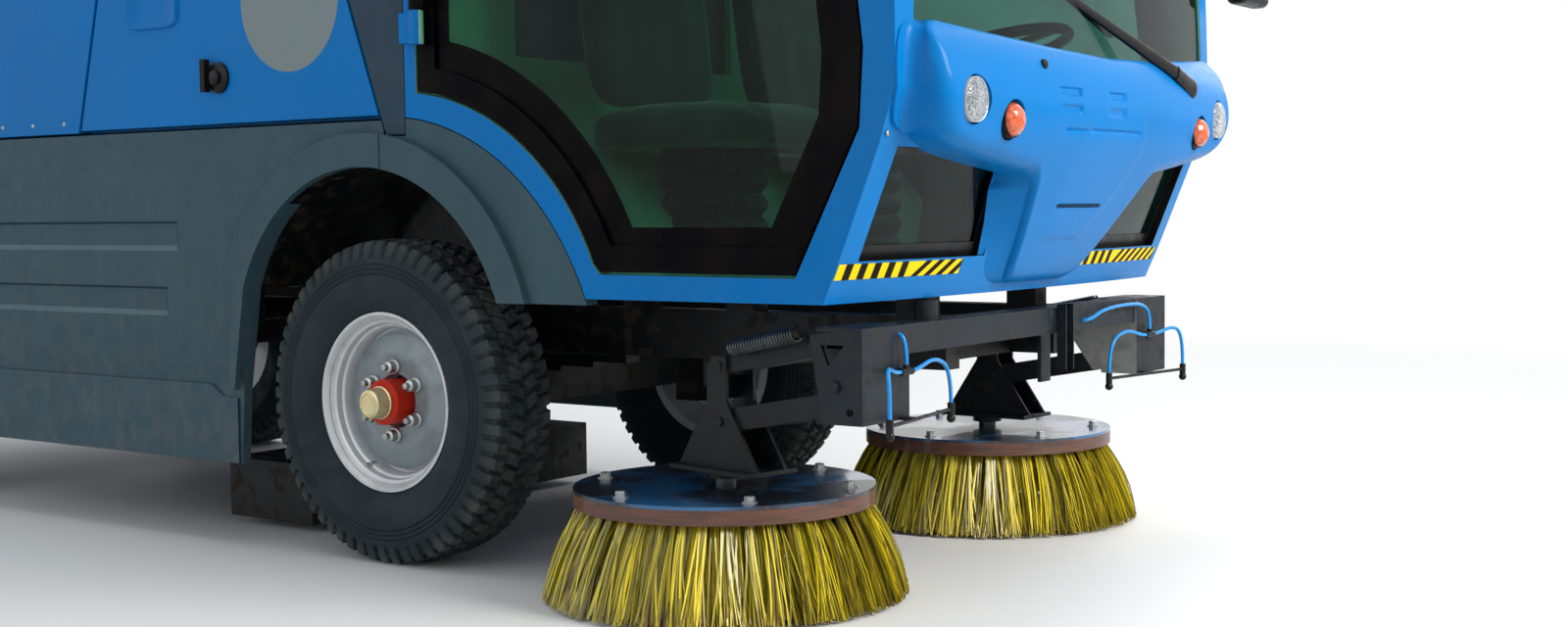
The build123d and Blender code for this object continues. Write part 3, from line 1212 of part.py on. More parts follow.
def brush_head(side):
    """Brush head: flared cheek plates on the links' rear pins, motor and mounting foot."""
    pivots = [link_ends(index)[1] for index in (0, 1)]
    inner = FORK_HALF_GAP
    outer = FORK_HALF_GAP + FORK_PLATE
    front = pivots[0][0] + LINK_EYE_RADIUS
    rear = pivots[0][0] - 2 * LINK_EYE_RADIUS
    face = outline((HEAD_FOOT_REAR, HEAD_BOTTOM), (HEAD_FOOT_FRONT, HEAD_BOTTOM), (front, HEAD_WAIST_Z),
                   (front, HEAD_TOP), (rear + HEAD_CHAMFER, HEAD_TOP), (rear, HEAD_TOP - HEAD_CHAMFER),
                   (rear, HEAD_WAIST_Z))
    cheeks = both_sides(side_slab(face, -outer, -inner))
    tie = block((rear, rear + FORK_PLATE), (-inner, inner), (HEAD_WAIST_Z, HEAD_TOP - 30))
    foot_x = (HEAD_FOOT_REAR, HEAD_FOOT_FRONT)
    foot = block(foot_x, (-outer - 30, outer + 30), (HEAD_BOTTOM - 10, HEAD_BOTTOM))
    motor = rod_z(-BRUSH_REACH, 0, MOTOR_RADIUS - 14, HEAD_BOTTOM, MOTOR_TOP)
    hub = rod_z(-BRUSH_REACH, 0, 40, DISC_TOP + 14, HEAD_BOTTOM - 10)
    head = cheeks + tie + foot + motor + hub
    for x, z in pivots:
        head += rod_y(x, z, LINK_PIN_RADIUS, -outer - 5, outer + 5)
    shaft = SHAFT_RADIUS + PIN_CLEARANCE
    head -= rod_z(-BRUSH_REACH, 0, shaft, DISC_TOP, HEAD_BOTTOM + 20)
    return place_boom(head, side)


def brush_disc(side):
    """Steel brush disc with its rim ring and drive shaft."""
    top = DISC_TOP
    disc = rod_z(0, 0, DISC_RADIUS, top - RING_HEIGHT, top)
    disc -= rod_z(0, 0, RING_INNER_RADIUS, top - RING_HEIGHT - 1, top - DISC_PLATE)
    disc += rod_z(0, 0, SHAFT_RADIUS, top - DISC_PLATE, HEAD_BOTTOM + 14)
    for index in range(6):
        x, y = arc_point((0, 0), DISC_RADIUS - 48, 30 + 60 * index)
        disc += rod_z(x, y, 10, top, top + 14)
    return place_boom(Pos(-BRUSH_REACH, 0, 0) * disc, side)


def bristles(side):
    """Ring of spread tufts under the disc's rim, each a loft that leans out and widens."""
    top = DISC_TOP - RING_HEIGHT
    root_middle = (BRISTLE_TOP_INNER + BRISTLE_TOP_RADIUS) / 2
    tip_middle = (BRISTLE_TIP_INNER + BRISTLE_TIP_RADIUS) / 2
    root_pitch = 2 * math.pi * root_middle / TUFT_COUNT
    tip_pitch = 2 * math.pi * tip_middle / TUFT_COUNT
    root = Pos(root_middle, 0, top - BRISTLE_BAND / 2) * Rectangle(
        BRISTLE_TOP_RADIUS - BRISTLE_TOP_INNER - 4, root_pitch * TUFT_ROOT_FILL)
    tip = Pos(tip_middle, 0, BRISTLE_TIP_Z) * Rectangle(
        BRISTLE_TIP_RADIUS - BRISTLE_TIP_INNER - 2, tip_pitch * TUFT_TIP_FILL)
    tuft = loft([root, tip], ruled=True)
    face = outline((BRISTLE_TOP_INNER, top), (BRISTLE_TOP_RADIUS, top),
                   (BRISTLE_TOP_RADIUS, top - BRISTLE_BAND), (BRISTLE_TOP_INNER, top - BRISTLE_BAND))
    band = revolve(Plane.XZ * face, Axis.Z)
    ring = band + [Rot(0, 0, 360 * index / TUFT_COUNT) * tuft for index in range(TUFT_COUNT)]
    return place_boom(Pos(-BRUSH_REACH, 0, 0) * ring, side)


def spray_bars():
    """Nozzle bar, tee and two nozzles in front of each end box."""
    outer_x, outer_y = OUTER_NOZZLE
    inner_x, inner_y = INNER_NOZZLE
    tee_x, tee_y, tee_z = TEE
    gear = bar((outer_x, outer_y, NOZZLE_BAR_Z), (inner_x, inner_y, NOZZLE_BAR_Z), 4)
    stay_y = -BOX_INNER_Y - 30
    share = (stay_y - outer_y) / (inner_y - outer_y)
    stay_x = outer_x + share * (inner_x - outer_x)
    gear += block((BOX_FRONT, stay_x + 3), (stay_y - 12, stay_y + 12), (NOZZLE_BAR_Z - 3, NOZZLE_BAR_Z + 3))
    for x, y in (OUTER_NOZZLE, INNER_NOZZLE):
        gear += rod_z(x, y, TEE_RADIUS, NOZZLE_BAR_Z - 14, NOZZLE_TOP)
        gear += Pos(x, y, NOZZLE_BAR_Z - 20) * Sphere(NOZZLE_BALL)
    gear += rod_y(tee_x, tee_z, TEE_RADIUS, tee_y - TEE_HALF, tee_y + TEE_HALF)
    gear += rod_z(tee_x, tee_y, TEE_RADIUS - 1, tee_z, FEED_TOP)
    gear += rod_x(tee_y, tee_z, TEE_RADIUS - 2, BOX_FRONT, tee_x)
    return both_sides(gear)


def hose(route, bend):
    """Round hose that leaves along its route's first leg."""
    first, second = route[0], route[1]
    ahead = tuple(b - a for a, b in zip(first, second))
    path = FilletPolyline(*route, radius=bend)
    return sweep(Plane(origin=first, z_dir=ahead) * Circle(HOSE_RADIUS), path=path)


def spray_hoses():
    """Water hoses: two from each tee to its nozzles, and a feed to each tee."""
    outer_x, outer_y = OUTER_NOZZLE
    inner_x, inner_y = INNER_NOZZLE
    tee_x, tee_y, tee_z = TEE
    outer = hose(((tee_x, tee_y - TEE_HALF, tee_z), (tee_x, tee_y - 44, tee_z), (1442, outer_y + 14, 545),
                  (outer_x, outer_y, 508), (outer_x, outer_y, NOZZLE_TOP)), HOSE_BEND)
    inner = hose(((tee_x, tee_y + TEE_HALF, tee_z), (tee_x, tee_y + 42, tee_z), (1410, inner_y - 80, 548),
                  (inner_x, inner_y, 515), (inner_x, inner_y, NOZZLE_TOP)), HOSE_BEND)
    short_feed = hose(((BOX_FRONT, tee_y, 603), (tee_x, tee_y, 603), (tee_x, tee_y, FEED_TOP)), FEED_BEND)
    long_feed = hose(((BEAM_X[1], 262, 583), (BEAM_X[1] + 18, 262, 583), (1412, 345, 606), (1414, 480, 612),
                      (1416, -tee_y - 40, 608), (tee_x, -tee_y, 585), (tee_x, -tee_y, FEED_TOP)), FEED_BEND)
    return both_sides(outer + inner) + short_feed + long_feed


def build():
    """All sub-parts by name, with X counted from the front axle."""
    parts = {
        "chassis_frame": chassis_frame(),
        "engine_block": engine_block(),
        "axles": axles(),
        "cab_shell": cab_shell(),
        "cab_roof": cab_roof(),
        "cab_glass": cab_glass(),
        "nose_panel": nose_panel(),
        "headlamps": headlamps(),
        "amber_lamps": amber_lamps(),
        "wiper": wiper(),
        "mirrors": mirrors(),
        "seats": seats(),
        "dashboard": dashboard(),
        "steering_wheel": steering_wheel(),
        "engine_housing": engine_housing(),
        "intake_columns": intake_columns(),
        "hopper_shell": hopper_shell(),
        "hopper_door": hopper_door(),
        "tip_barrel": tip_barrel(),
        "tip_rod": tip_rod(),
        "rear_bumper": rear_bumper(),
        "tail_lamps": tail_lamps(),
        "suction_nozzle": suction_nozzle(),
        "suction_duct": suction_duct(),
        "brush_beam": brush_beam(),
        "spray_bars": spray_bars(),
        "spray_hoses": spray_hoses(),
    }
    for side in ("right", "left"):
        parts["skirt_" + side] = skirt(side)
        parts["fender_" + side] = fender(side)
        parts["service_door_" + side] = service_door(side)
        parts["door_frame_" + side] = door_frame(side)
        parts["door_glass_" + side] = door_glass(side)
        parts["swing_bracket_" + side] = swing_bracket(side)
        parts["upper_link_" + side] = boom_link(0, side)
        parts["lower_link_" + side] = boom_link(1, side)
        parts["brush_head_" + side] = brush_head(side)
        parts["brush_disc_" + side] = brush_disc(side)
        parts["bristles_" + side] = bristles(side)
        parts["knuckle_" + side] = knuckle(side)
        for row, x in (("front", 0), ("rear", -WHEELBASE)):
            parts[f"tyre_{row}_{side}"] = tyre(x, side)
            parts[f"rim_{row}_{side}"] = rim(x, side)
    return parts


os.makedirs("parts", exist_ok=True)
for name, shape in build().items():
    export_step(Pos(FRONT_AXLE_X, 0, 0) * shape, f"parts/{name}.step")
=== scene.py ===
"""Looks of a compact street sweeper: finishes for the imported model's nodes, and the
treaded tyres, bristles, nose moulding, hoses and trim that are surfaces of their own.

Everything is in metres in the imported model's frame: X forward, Y to the vehicle's left,
Z up from the ground. Lengths along the vehicle are counted from the front axle.
"""
import json
import logging
import math
from collections.abc import Sequence
from dataclasses import dataclass
from enum import Enum
from typing import Self

import bmesh
import bpy
import numpy as np
from mathutils import Matrix, Vector

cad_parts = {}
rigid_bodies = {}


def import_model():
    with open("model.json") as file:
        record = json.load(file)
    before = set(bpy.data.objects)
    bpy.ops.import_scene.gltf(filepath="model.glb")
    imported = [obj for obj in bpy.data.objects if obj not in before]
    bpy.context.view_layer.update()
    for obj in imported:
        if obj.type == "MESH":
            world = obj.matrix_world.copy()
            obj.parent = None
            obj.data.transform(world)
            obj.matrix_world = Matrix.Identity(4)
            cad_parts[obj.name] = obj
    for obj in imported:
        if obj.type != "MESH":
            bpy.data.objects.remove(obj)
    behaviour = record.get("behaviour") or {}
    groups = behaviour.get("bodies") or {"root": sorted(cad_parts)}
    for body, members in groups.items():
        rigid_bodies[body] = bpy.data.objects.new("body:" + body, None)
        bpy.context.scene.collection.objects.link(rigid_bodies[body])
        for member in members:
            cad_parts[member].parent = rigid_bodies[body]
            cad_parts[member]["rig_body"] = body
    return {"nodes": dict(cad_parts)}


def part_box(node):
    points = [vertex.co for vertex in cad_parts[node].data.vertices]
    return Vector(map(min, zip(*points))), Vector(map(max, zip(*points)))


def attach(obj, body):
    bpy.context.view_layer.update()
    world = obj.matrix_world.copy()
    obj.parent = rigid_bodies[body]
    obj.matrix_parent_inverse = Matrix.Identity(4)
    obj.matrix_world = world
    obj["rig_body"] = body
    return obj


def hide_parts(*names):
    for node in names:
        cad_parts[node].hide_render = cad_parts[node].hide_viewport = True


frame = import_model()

log = logging.getLogger("sweeper")
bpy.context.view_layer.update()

Colour = tuple[float, float, float]
Point = tuple[float, float, float]
Three = tuple[float, float, float]
Pair = tuple[float, float]
Profile = tuple[Pair, ...]
Material = bpy.types.Material
Socket = bpy.types.NodeSocket

FORWARD = (1, 0, 0)
UPWARD = (0, 0, 1)
POLE = 1e-5
RIVET_RADIUS = 0.006
RIVET_RISE = 0.0026
BOW_RADIUS = 7.0
CAB_HALF_WIDTH = 0.787
SCREEN_BASE_X = 1.503
FRONT_HEIGHTS = (0.670, 0.753, 0.990, 1.098, 1.300)
FRONT_REACHES = (1.330, 1.368, 1.466, 1.500, 1.4965)


class Side(Enum):
    """A side of the vehicle, as the sign of its Y."""

    RIGHT = -1
    LEFT = 1

    @property
    def word(self) -> str:
        """The side's name as the nodes end with it."""
        return self.name.lower()


def middle(node: str) -> Point:
    """Middle of a node's box."""
    low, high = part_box(node)
    return tuple((a + b) / 2 for a, b in zip(low, high))


AXLE_X = middle("rim_front_right")[0]


def from_axle(x: np.ndarray | float, y: np.ndarray | float, z: np.ndarray | float) -> np.ndarray:
    """Points of the frame, where single values are shared by all.

    Args:
        x: Distances ahead of the front axle.
        y: Places across.
        z: Heights.

    Returns:
        One point for each place in the values' common shape.
    """
    return np.stack(np.broadcast_arrays(AXLE_X + x, y, z), axis=-1)


def srgb(red: int, green: int, blue: int) -> Colour:
    """Linear colour from the three numbers that a colour picker shows.

    Args:
        red: From 0 to 255.
        green: From 0 to 255.
        blue: From 0 to 255.

    Returns:
        The linear colour.
    """
    parts = np.array([red, green, blue]) / 255
    linear = np.where(parts <= 0.04045, parts / 12.92, ((parts + 0.055) / 1.055) ** 2.4)
    return tuple(float(part) for part in linear)


def sagitta(y: np.ndarray | float) -> np.ndarray:
    """How far the cab's bowed front has fallen back at y from the middle line."""
    return BOW_RADIUS - np.sqrt(BOW_RADIUS ** 2 - y ** 2)


def bowed_x(x: np.ndarray, y: np.ndarray) -> np.ndarray:
    """Place on the cab's bowed front: the profile is turned about an upright axis 7 m
    behind the windscreen's foot, so x falls back by the circle's sagitta at y.

    Args:
        x: Profile's distance ahead of the axle at the cab's side.
        y: Distance from the middle line.

    Returns:
        Distance ahead of the axle at y.
    """
    axis = SCREEN_BASE_X + BOW_RADIUS - math.sqrt(BOW_RADIUS ** 2 - CAB_HALF_WIDTH ** 2) - BOW_RADIUS
    return axis + np.sqrt((x - SCREEN_BASE_X + BOW_RADIUS) ** 2 - y ** 2)


def cab_front(y: np.ndarray, z: np.ndarray) -> np.ndarray:
    """Place of the cab's front below the windscreen: its side profile, bowed.

    Args:
        y: Distances from the middle line.
        z: Heights.

    Returns:
        Distances ahead of the axle.
    """
    return bowed_x(np.interp(z, FRONT_HEIGHTS, FRONT_REACHES), y)


def scaled(colour: Colour, factor: float, lift: float = 0.0) -> Colour:
    """Colour made darker or lighter, and no brighter than white."""
    return tuple(min(1.0, part * factor + lift) for part in colour)


class Skin:
    """Grids and tubes gathered into one mesh object."""

    def __init__(self, name: str) -> None:
        """Start an empty piece."""
        self.name = name
        self.points: list[np.ndarray] = []
        self.faces: list[np.ndarray] = []
        self.tones: list[np.ndarray] = []
        self.count = 0

    def add(self, points: np.ndarray, faces: np.ndarray, tone: np.ndarray | float = 0.0) -> None:
        """Add points with faces that index them.

        Args:
            points: One row of three numbers a point.
            faces: One row of four point numbers a face.
            tone: Value of the piece's own colour attribute, one or one a point.
        """
        points = points.reshape(-1, 3)
        self.points.append(points)
        self.faces.append(faces.reshape(-1, 4) + self.count)
        self.tones.append(np.broadcast_to(np.asarray(tone, float).reshape(-1), (len(points),)))
        self.count += len(points)

    def grid(self, points: np.ndarray, wrap_rows: bool = False, wrap_columns: bool = False,
             tone: np.ndarray | float = 0.0) -> Self:
        """Add a sheet of four-sided faces between rows and columns of points.

        Args:
            points: Rows by columns by three.
            wrap_rows: Whether the last row joins the first.
            wrap_columns: Whether the last column joins the first.
            tone: Value of the colour attribute.

        Returns:
            The skin itself, for a chain of calls.
        """
        rows, columns = points.shape[:2]
        row = np.arange(rows if wrap_rows else rows - 1)
        column = np.arange(columns if wrap_columns else columns - 1)
        first, second = np.meshgrid(row, column, indexing="ij")
        next_row = (first + 1) % rows
        next_column = (second + 1) % columns
        corners = (first * columns + second, first * columns + next_column,
                   next_row * columns + next_column, next_row * columns + second)
        self.add(points, np.stack(corners, axis=-1), tone)
        return self

    def turned(self, profile: Sequence[Pair] | np.ndarray, centre: Point, axis: Point,
               steps: int = 64, ring: bool = False) -> Self:
        """Add a turned surface.

        Args:
            profile: Rows of (distance along the axis, radius).
            centre: Where the axis starts.
            axis: Direction of the axis.
            steps: Points round the axis.
            ring: Whether the profile's end joins its start.

        Returns:
            The skin itself, for a chain of calls.
        """
        return self.grid(lathe(profile, centre, axis, steps), wrap_rows=ring, wrap_columns=True)

    def build(self, body: str, finish: Material, smooth: float = 40.0,
              slot: str | None = None, replaces: Sequence[str] = ()) -> bpy.types.Object:
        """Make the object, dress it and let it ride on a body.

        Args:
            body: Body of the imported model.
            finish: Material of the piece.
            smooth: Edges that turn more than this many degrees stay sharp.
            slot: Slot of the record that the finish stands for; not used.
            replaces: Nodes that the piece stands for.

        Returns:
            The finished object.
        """
        mesh = bpy.data.meshes.new(self.name)
        points = np.concatenate(self.points).astype(np.float32)
        faces = np.concatenate(self.faces).astype(np.int32)
        mesh.vertices.add(len(points))
        mesh.vertices.foreach_set("co", points.ravel())
        mesh.loops.add(faces.size)
        mesh.loops.foreach_set("vertex_index", faces.ravel())
        mesh.polygons.add(len(faces))
        mesh.polygons.foreach_set("loop_start", np.arange(0, faces.size, 4, dtype=np.int32))
        tone = mesh.attributes.new("tone", "FLOAT", "POINT")
        tone.data.foreach_set("value", np.concatenate(self.tones).astype(np.float32))
        mesh.update()
        mesh.validate()
        tidy(mesh, smooth)
        return place(self.name, mesh, body, finish, replaces)


def tidy(mesh: bpy.types.Mesh, smooth: float) -> None:
    """Merge doubled points, turn the faces outwards and smooth them up to an angle.

    Args:
        mesh: Mesh to put in order.
        smooth: Edges that turn more than this many degrees stay sharp.
    """
    work = bmesh.new()
    work.from_mesh(mesh)
    bmesh.ops.remove_doubles(work, verts=work.verts, dist=1e-6)
    bmesh.ops.dissolve_degenerate(work, edges=work.edges, dist=1e-7)
    bmesh.ops.recalc_face_normals(work, faces=work.faces)
    work.to_mesh(mesh)
    work.free()
    mesh.shade_smooth()
    mesh.set_sharp_from_angle(angle=math.radians(smooth))


def linked(name: str, data: bpy.types.ID) -> bpy.types.Object:
    """New object in the scene."""
    item = bpy.data.objects.new(name, data)
    bpy.context.scene.collection.objects.link(item)
    return item


def place(name: str, mesh: bpy.types.Mesh, body: str, finish: Material,
          replaces: Sequence[str] = ()) -> bpy.types.Object:
    """Put a mesh in the scene on a body.

    Args:
        name: Piece's name.
        mesh: Its mesh, in the frame.
        body: Body that carries it.
        finish: Its material.
        replaces: Nodes that it stands for.

    Returns:
        The object.
    """
    piece = linked(name, mesh)
    mesh.materials.clear()
    mesh.materials.append(finish)
    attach(piece, body)
    if replaces:
        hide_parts(*replaces)
    return piece


def lathe(profile: Sequence[Pair] | np.ndarray, centre: Point, axis: Point,
          steps: int = 64) -> np.ndarray:
    """Points of a turned surface: each profile point (out along the axis, radius) goes
    round the axis in equal steps.

    Args:
        profile: Rows of (distance along the axis, radius).
        centre: Where the axis starts.
        axis: Direction of the axis.
        steps: Points round the axis.

    Returns:
        Profile rows by steps by three.
    """
    line = np.array(axis, float) / np.linalg.norm(axis)
    side = np.cross(line, (0.0, 0.0, 1.0))
    if np.linalg.norm(side) < 1e-6:
        side = np.array((1.0, 0.0, 0.0))
    side /= np.linalg.norm(side)
    other = np.cross(line, side)
    turn = np.arange(steps) * 2 * math.pi / steps
    ring = np.cos(turn)[:, None] * side + np.sin(turn)[:, None] * other
    profile = np.asarray(profile, float)
    return np.array(centre) + profile[:, :1, None] * line + profile[:, 1:, None] * ring


def tube(path: np.ndarray, radius: np.ndarray | float, sides: int = 10) -> np.ndarray:
    """Round bar along a path: a circle is carried square to the path, with one fixed
    reference direction that keeps it from turning.

    Args:
        path: Points of the middle line.
        radius: One radius or one a point.
        sides: Points round the bar.

    Returns:
        Path points by sides by three.
    """
    along = np.gradient(path, axis=0)
    along /= np.linalg.norm(along, axis=1, keepdims=True)
    spread = path.max(axis=0) - path.min(axis=0)
    guide = np.eye(3)[int(np.argmin(spread))]
    first = np.cross(along, guide)
    first /= np.linalg.norm(first, axis=1, keepdims=True)
    second = np.cross(along, first)
    turn = np.arange(sides) * 2 * math.pi / sides
    size = np.broadcast_to(np.asarray(radius, float).reshape(-1, 1, 1), (len(path), 1, 1))
    ring = first[:, None] * np.cos(turn)[:, None] + second[:, None] * np.sin(turn)[:, None]
    return path[:, None] + size * ring


def capped(points: np.ndarray) -> np.ndarray:
    """A ring of rings closed at both ends by a row that shrinks to its middle.

    Args:
        points: Rows by columns by three.

    Returns:
        The same rows with one more at each end.
    """
    ends = [np.broadcast_to(points[row].mean(axis=0), points[row].shape)[None] for row in (0, -1)]
    return np.concatenate((ends[0], points, ends[1]))


def rounded_block(low: Point, high: Point, power: float = 8.0, steps: int = 24) -> np.ndarray:
    """Block with soft edges: a superellipsoid, where the sum of the coordinates' powers
    is one, on a grid of longitude and latitude.

    Args:
        low: Lowest corner.
        high: Highest corner.
        power: Two is an ellipsoid, and more is boxier.
        steps: Points round it.

    Returns:
        Grid of points.
    """
    low_point, high_point = np.array(low), np.array(high)
    up = np.linspace(-math.pi / 2, math.pi / 2, steps // 2 + 1)[:, None]
    turn = np.linspace(0, 2 * math.pi, steps, endpoint=False)[None]
    shape = np.stack((np.cos(up) * np.cos(turn), np.cos(up) * np.sin(turn),
                      np.broadcast_to(np.sin(up), (len(up), steps))), axis=-1)
    grown = shape / (np.abs(shape) ** power).sum(axis=-1, keepdims=True) ** (1 / power)
    return (low_point + high_point) / 2 + grown * (high_point - low_point) / 2


def smooth_step(value: np.ndarray, low: float, high: float) -> np.ndarray:
    """Zero below low, one above high, and a soft cubic between them.

    Args:
        value: Values to test.
        low: Where the step starts.
        high: Where it ends.

    Returns:
        Values from 0 to 1.
    """
    share = np.clip((value - low) / (high - low), 0, 1)
    return share * share * (3 - 2 * share)


def sized(profile: Profile, radius: float) -> np.ndarray:
    """Profile for a turned surface, from one whose radii are shares of the radius."""
    points = np.array(profile)
    points[:, 1] = np.maximum(points[:, 1] * radius, POLE)
    return points


def rivet_profile() -> np.ndarray:
    """Half section of a domed rivet's head: a quarter of an ellipse on a short skirt."""
    turn = np.linspace(0, math.pi / 2, 5)
    dome = np.column_stack((RIVET_RISE * np.sin(turn), RIVET_RADIUS * np.cos(turn) + POLE))
    return np.concatenate(([(-0.001, RIVET_RADIUS)], dome))


class Nodes:
    """A node tree while it is put together."""

    def __init__(self, tree: bpy.types.NodeTree) -> None:
        """Keep the tree."""
        self.tree = tree

    def node(self, kind: str) -> bpy.types.Node:
        """New shader node of a kind."""
        return self.tree.nodes.new("ShaderNode" + kind)

    def link(self, source: Socket, target: Socket) -> None:
        """Join two sockets."""
        self.tree.links.new(source, target)

    def feed(self, socket: Socket, value: object) -> None:
        """Give a socket a number, a colour or another socket's output."""
        if isinstance(value, Socket):
            self.link(value, socket)
        elif isinstance(value, tuple) and socket.type == "RGBA":
            socket.default_value = (*value, 1.0)
        else:
            socket.default_value = value

    def calc(self, operation: str, first: object, second: object = 0.5) -> Socket:
        """Result of one Math node."""
        node = self.node("Math")
        node.operation = operation
        self.feed(node.inputs[0], first)
        self.feed(node.inputs[1], second)
        return node.outputs[0]

    def times(self, first: object, second: object) -> Socket:
        """Product of two values."""
        return self.calc("MULTIPLY", first, second)

    def blend(self, share: Socket, first: Socket, second: Socket) -> Socket:
        """Shader between two shaders."""
        node = self.node("MixShader")
        for socket, value in zip(node.inputs, (share, first, second)):
            self.link(value, socket)
        return node.outputs[0]


class Recipe(Nodes):
    """A material's nodes while they are put together."""

    def __init__(self, name: str) -> None:
        """Start a material with its principled shader."""
        self.material = bpy.data.materials.new(name)
        self.material.use_nodes = True
        super().__init__(self.material.node_tree)
        self.shader = self.tree.nodes["Principled BSDF"]
        self.place = self.node("TexCoord").outputs["Object"]

    def set(self, **inputs: object) -> None:
        """Set the shader's sockets, named with underscores for spaces."""
        for key, value in inputs.items():
            self.feed(self.shader.inputs[key.replace("_", " ")], value)

    def stretched(self, scale: Point) -> Socket:
        """Object coordinates stretched along each axis."""
        mapping = self.node("Mapping")
        mapping.inputs["Scale"].default_value = scale
        self.link(self.place, mapping.inputs["Vector"])
        return mapping.outputs["Vector"]

    def noise(self, scale: float, detail: float = 4.0, stretch: Point | None = None) -> Socket:
        """Cloudy value from 0 to 1 on object coordinates."""
        node = self.node("TexNoise")
        node.inputs["Scale"].default_value = scale
        node.inputs["Detail"].default_value = detail
        self.link(self.stretched(stretch) if stretch else self.place, node.inputs["Vector"])
        return node.outputs["Fac"]

    def cells(self, scale: float) -> Socket:
        """Distance to the nearest of scattered points."""
        node = self.node("TexVoronoi")
        node.inputs["Scale"].default_value = scale
        self.link(self.place, node.inputs["Vector"])
        return node.outputs["Distance"]

    def axis(self, name: str) -> Socket:
        """One of the object coordinates."""
        node = self.node("SeparateXYZ")
        self.link(self.place, node.inputs[0])
        return node.outputs[name]

    def attribute(self, name: str) -> Socket:
        """A value kept on the piece's points."""
        node = self.node("Attribute")
        node.attribute_name = name
        return node.outputs["Fac"]

    def ramp(self, value: Socket, low: float, high: float,
             start: float = 0.0, end: float = 1.0) -> Socket:
        """Value carried smoothly from start to end between two limits."""
        node = self.node("MapRange")
        node.interpolation_type = "SMOOTHSTEP"
        for socket, number in zip(node.inputs[1:5], (low, high, start, end)):
            socket.default_value = number
        self.link(value, node.inputs["Value"])
        return node.outputs["Result"]

    def mix(self, share: object, first: object, second: object) -> Socket:
        """Colour between two colours."""
        node = self.node("Mix")
        node.data_type = "RGBA"
        self.feed(node.inputs[0], share)
        self.feed(node.inputs[6], first)
        self.feed(node.inputs[7], second)
        return node.outputs[2]

    def clouded(self, colour: Colour, other: Colour, scale: float, detail: float, low: float = 0.35,
                high: float = 0.7) -> Socket:
        """Colour that changes to another where a noise is high."""
        return self.mix(self.ramp(self.noise(scale, detail), low, high), colour, other)

    def bump(self, height: Socket, depth: float, strength: float = 1.0,
             after: Socket | None = None) -> Socket:
        """Fine relief of a depth in metres, on top of another."""
        node = self.node("Bump")
        node.inputs["Strength"].default_value = strength
        node.inputs["Distance"].default_value = depth
        self.link(height, node.inputs["Height"])
        if after:
            self.link(after, node.inputs["Normal"])
        return node.outputs["Normal"]


ROAD_DUST = srgb(140, 122, 98)
TREAD_DUST = srgb(112, 112, 104)
CHIPPED = srgb(150, 148, 140)
FINE = (60.0, 60.0, 60.0)
LENS_IOR = 1.45
PANE_IOR = 1.2


@dataclass(frozen=True)
class Paint:
    """Gloss or satin paint with faint clouding, and road dust low down."""

    name: str
    colour: Colour
    roughness: float = 0.3
    coat: float = 0.06
    dust: float = 0.10
    dust_top: float = 0.9
    clouding: float = 0.05
    shine: float = 0.08

    def base(self, recipe: Recipe) -> Socket:
        """Clouded colour before any marks and dust."""
        darker = scaled(self.colour, 1 - self.clouding * 1.6)
        return recipe.clouded(self.colour, darker, 2.2, 3.0, 0.3)

    def dusted(self, recipe: Recipe, colour: Socket) -> tuple[Socket, Socket]:
        """Colour with dust that thickens downwards, and the dust's own share."""
        height = recipe.ramp(recipe.axis("Z"), 0.15, self.dust_top, self.dust, 0.02)
        film = recipe.ramp(recipe.noise(9.0, 8.0), 0.34, 0.72)
        share = recipe.times(height, film)
        return recipe.mix(share, colour, ROAD_DUST), share

    def make(self) -> Material:
        """The finished material."""
        recipe = Recipe(self.name)
        colour, share = self.dusted(recipe, self.base(recipe))
        rough = recipe.calc("ADD", recipe.ramp(recipe.noise(40.0, 6.0), 0.3, 0.8, self.roughness, self.roughness + 0.1),
                           recipe.times(share, 0.5))
        skin = recipe.bump(recipe.noise(220.0, 2.0), 0.0004, 0.12)
        recipe.set(Base_Color=colour, Roughness=rough, Coat_Weight=self.coat, Coat_Roughness=0.08, Normal=skin,
                   Specular_IOR_Level=self.shine)
        return recipe.material


@dataclass(frozen=True)
class SideDoorPaint(Paint):
    """The body paint with the round grey badge field, and a black lock."""

    badge: Three = (-0.255, 1.397, 0.182)
    badge_colour: Colour = srgb(126, 138, 140)
    lock: Three = (-0.562, 1.220, 0.06)
    lock_colour: Colour = srgb(18, 18, 20)
    panel_y: float = 0.7875

    def near(self, recipe: Recipe, spot: Three, soft: float) -> Socket:
        """One inside a circle seen from the side, zero outside."""
        x = recipe.calc("SUBTRACT", recipe.axis("X"), spot[0] + AXLE_X)
        z = recipe.calc("SUBTRACT", recipe.axis("Z"), spot[1])
        apart = recipe.calc("SQRT", recipe.calc("ADD", recipe.times(x, x), recipe.times(z, z)))
        return recipe.ramp(apart, spot[2] - soft, spot[2], 1.0, 0.0)

    def base(self, recipe: Recipe) -> Socket:
        """Clouded paint with the badge and the lock."""
        paint = super().base(recipe)
        outside = recipe.calc("GREATER_THAN", recipe.calc("ABSOLUTE", recipe.axis("Y")), self.panel_y - 0.003)
        badge = recipe.times(self.near(recipe, self.badge, 0.002), outside)
        proud = recipe.calc("GREATER_THAN", recipe.calc("ABSOLUTE", recipe.axis("Y")), self.panel_y)
        lock = recipe.times(self.near(recipe, self.lock, 0.002), proud)
        return recipe.mix(lock, recipe.mix(badge, paint, self.badge_colour), self.lock_colour)


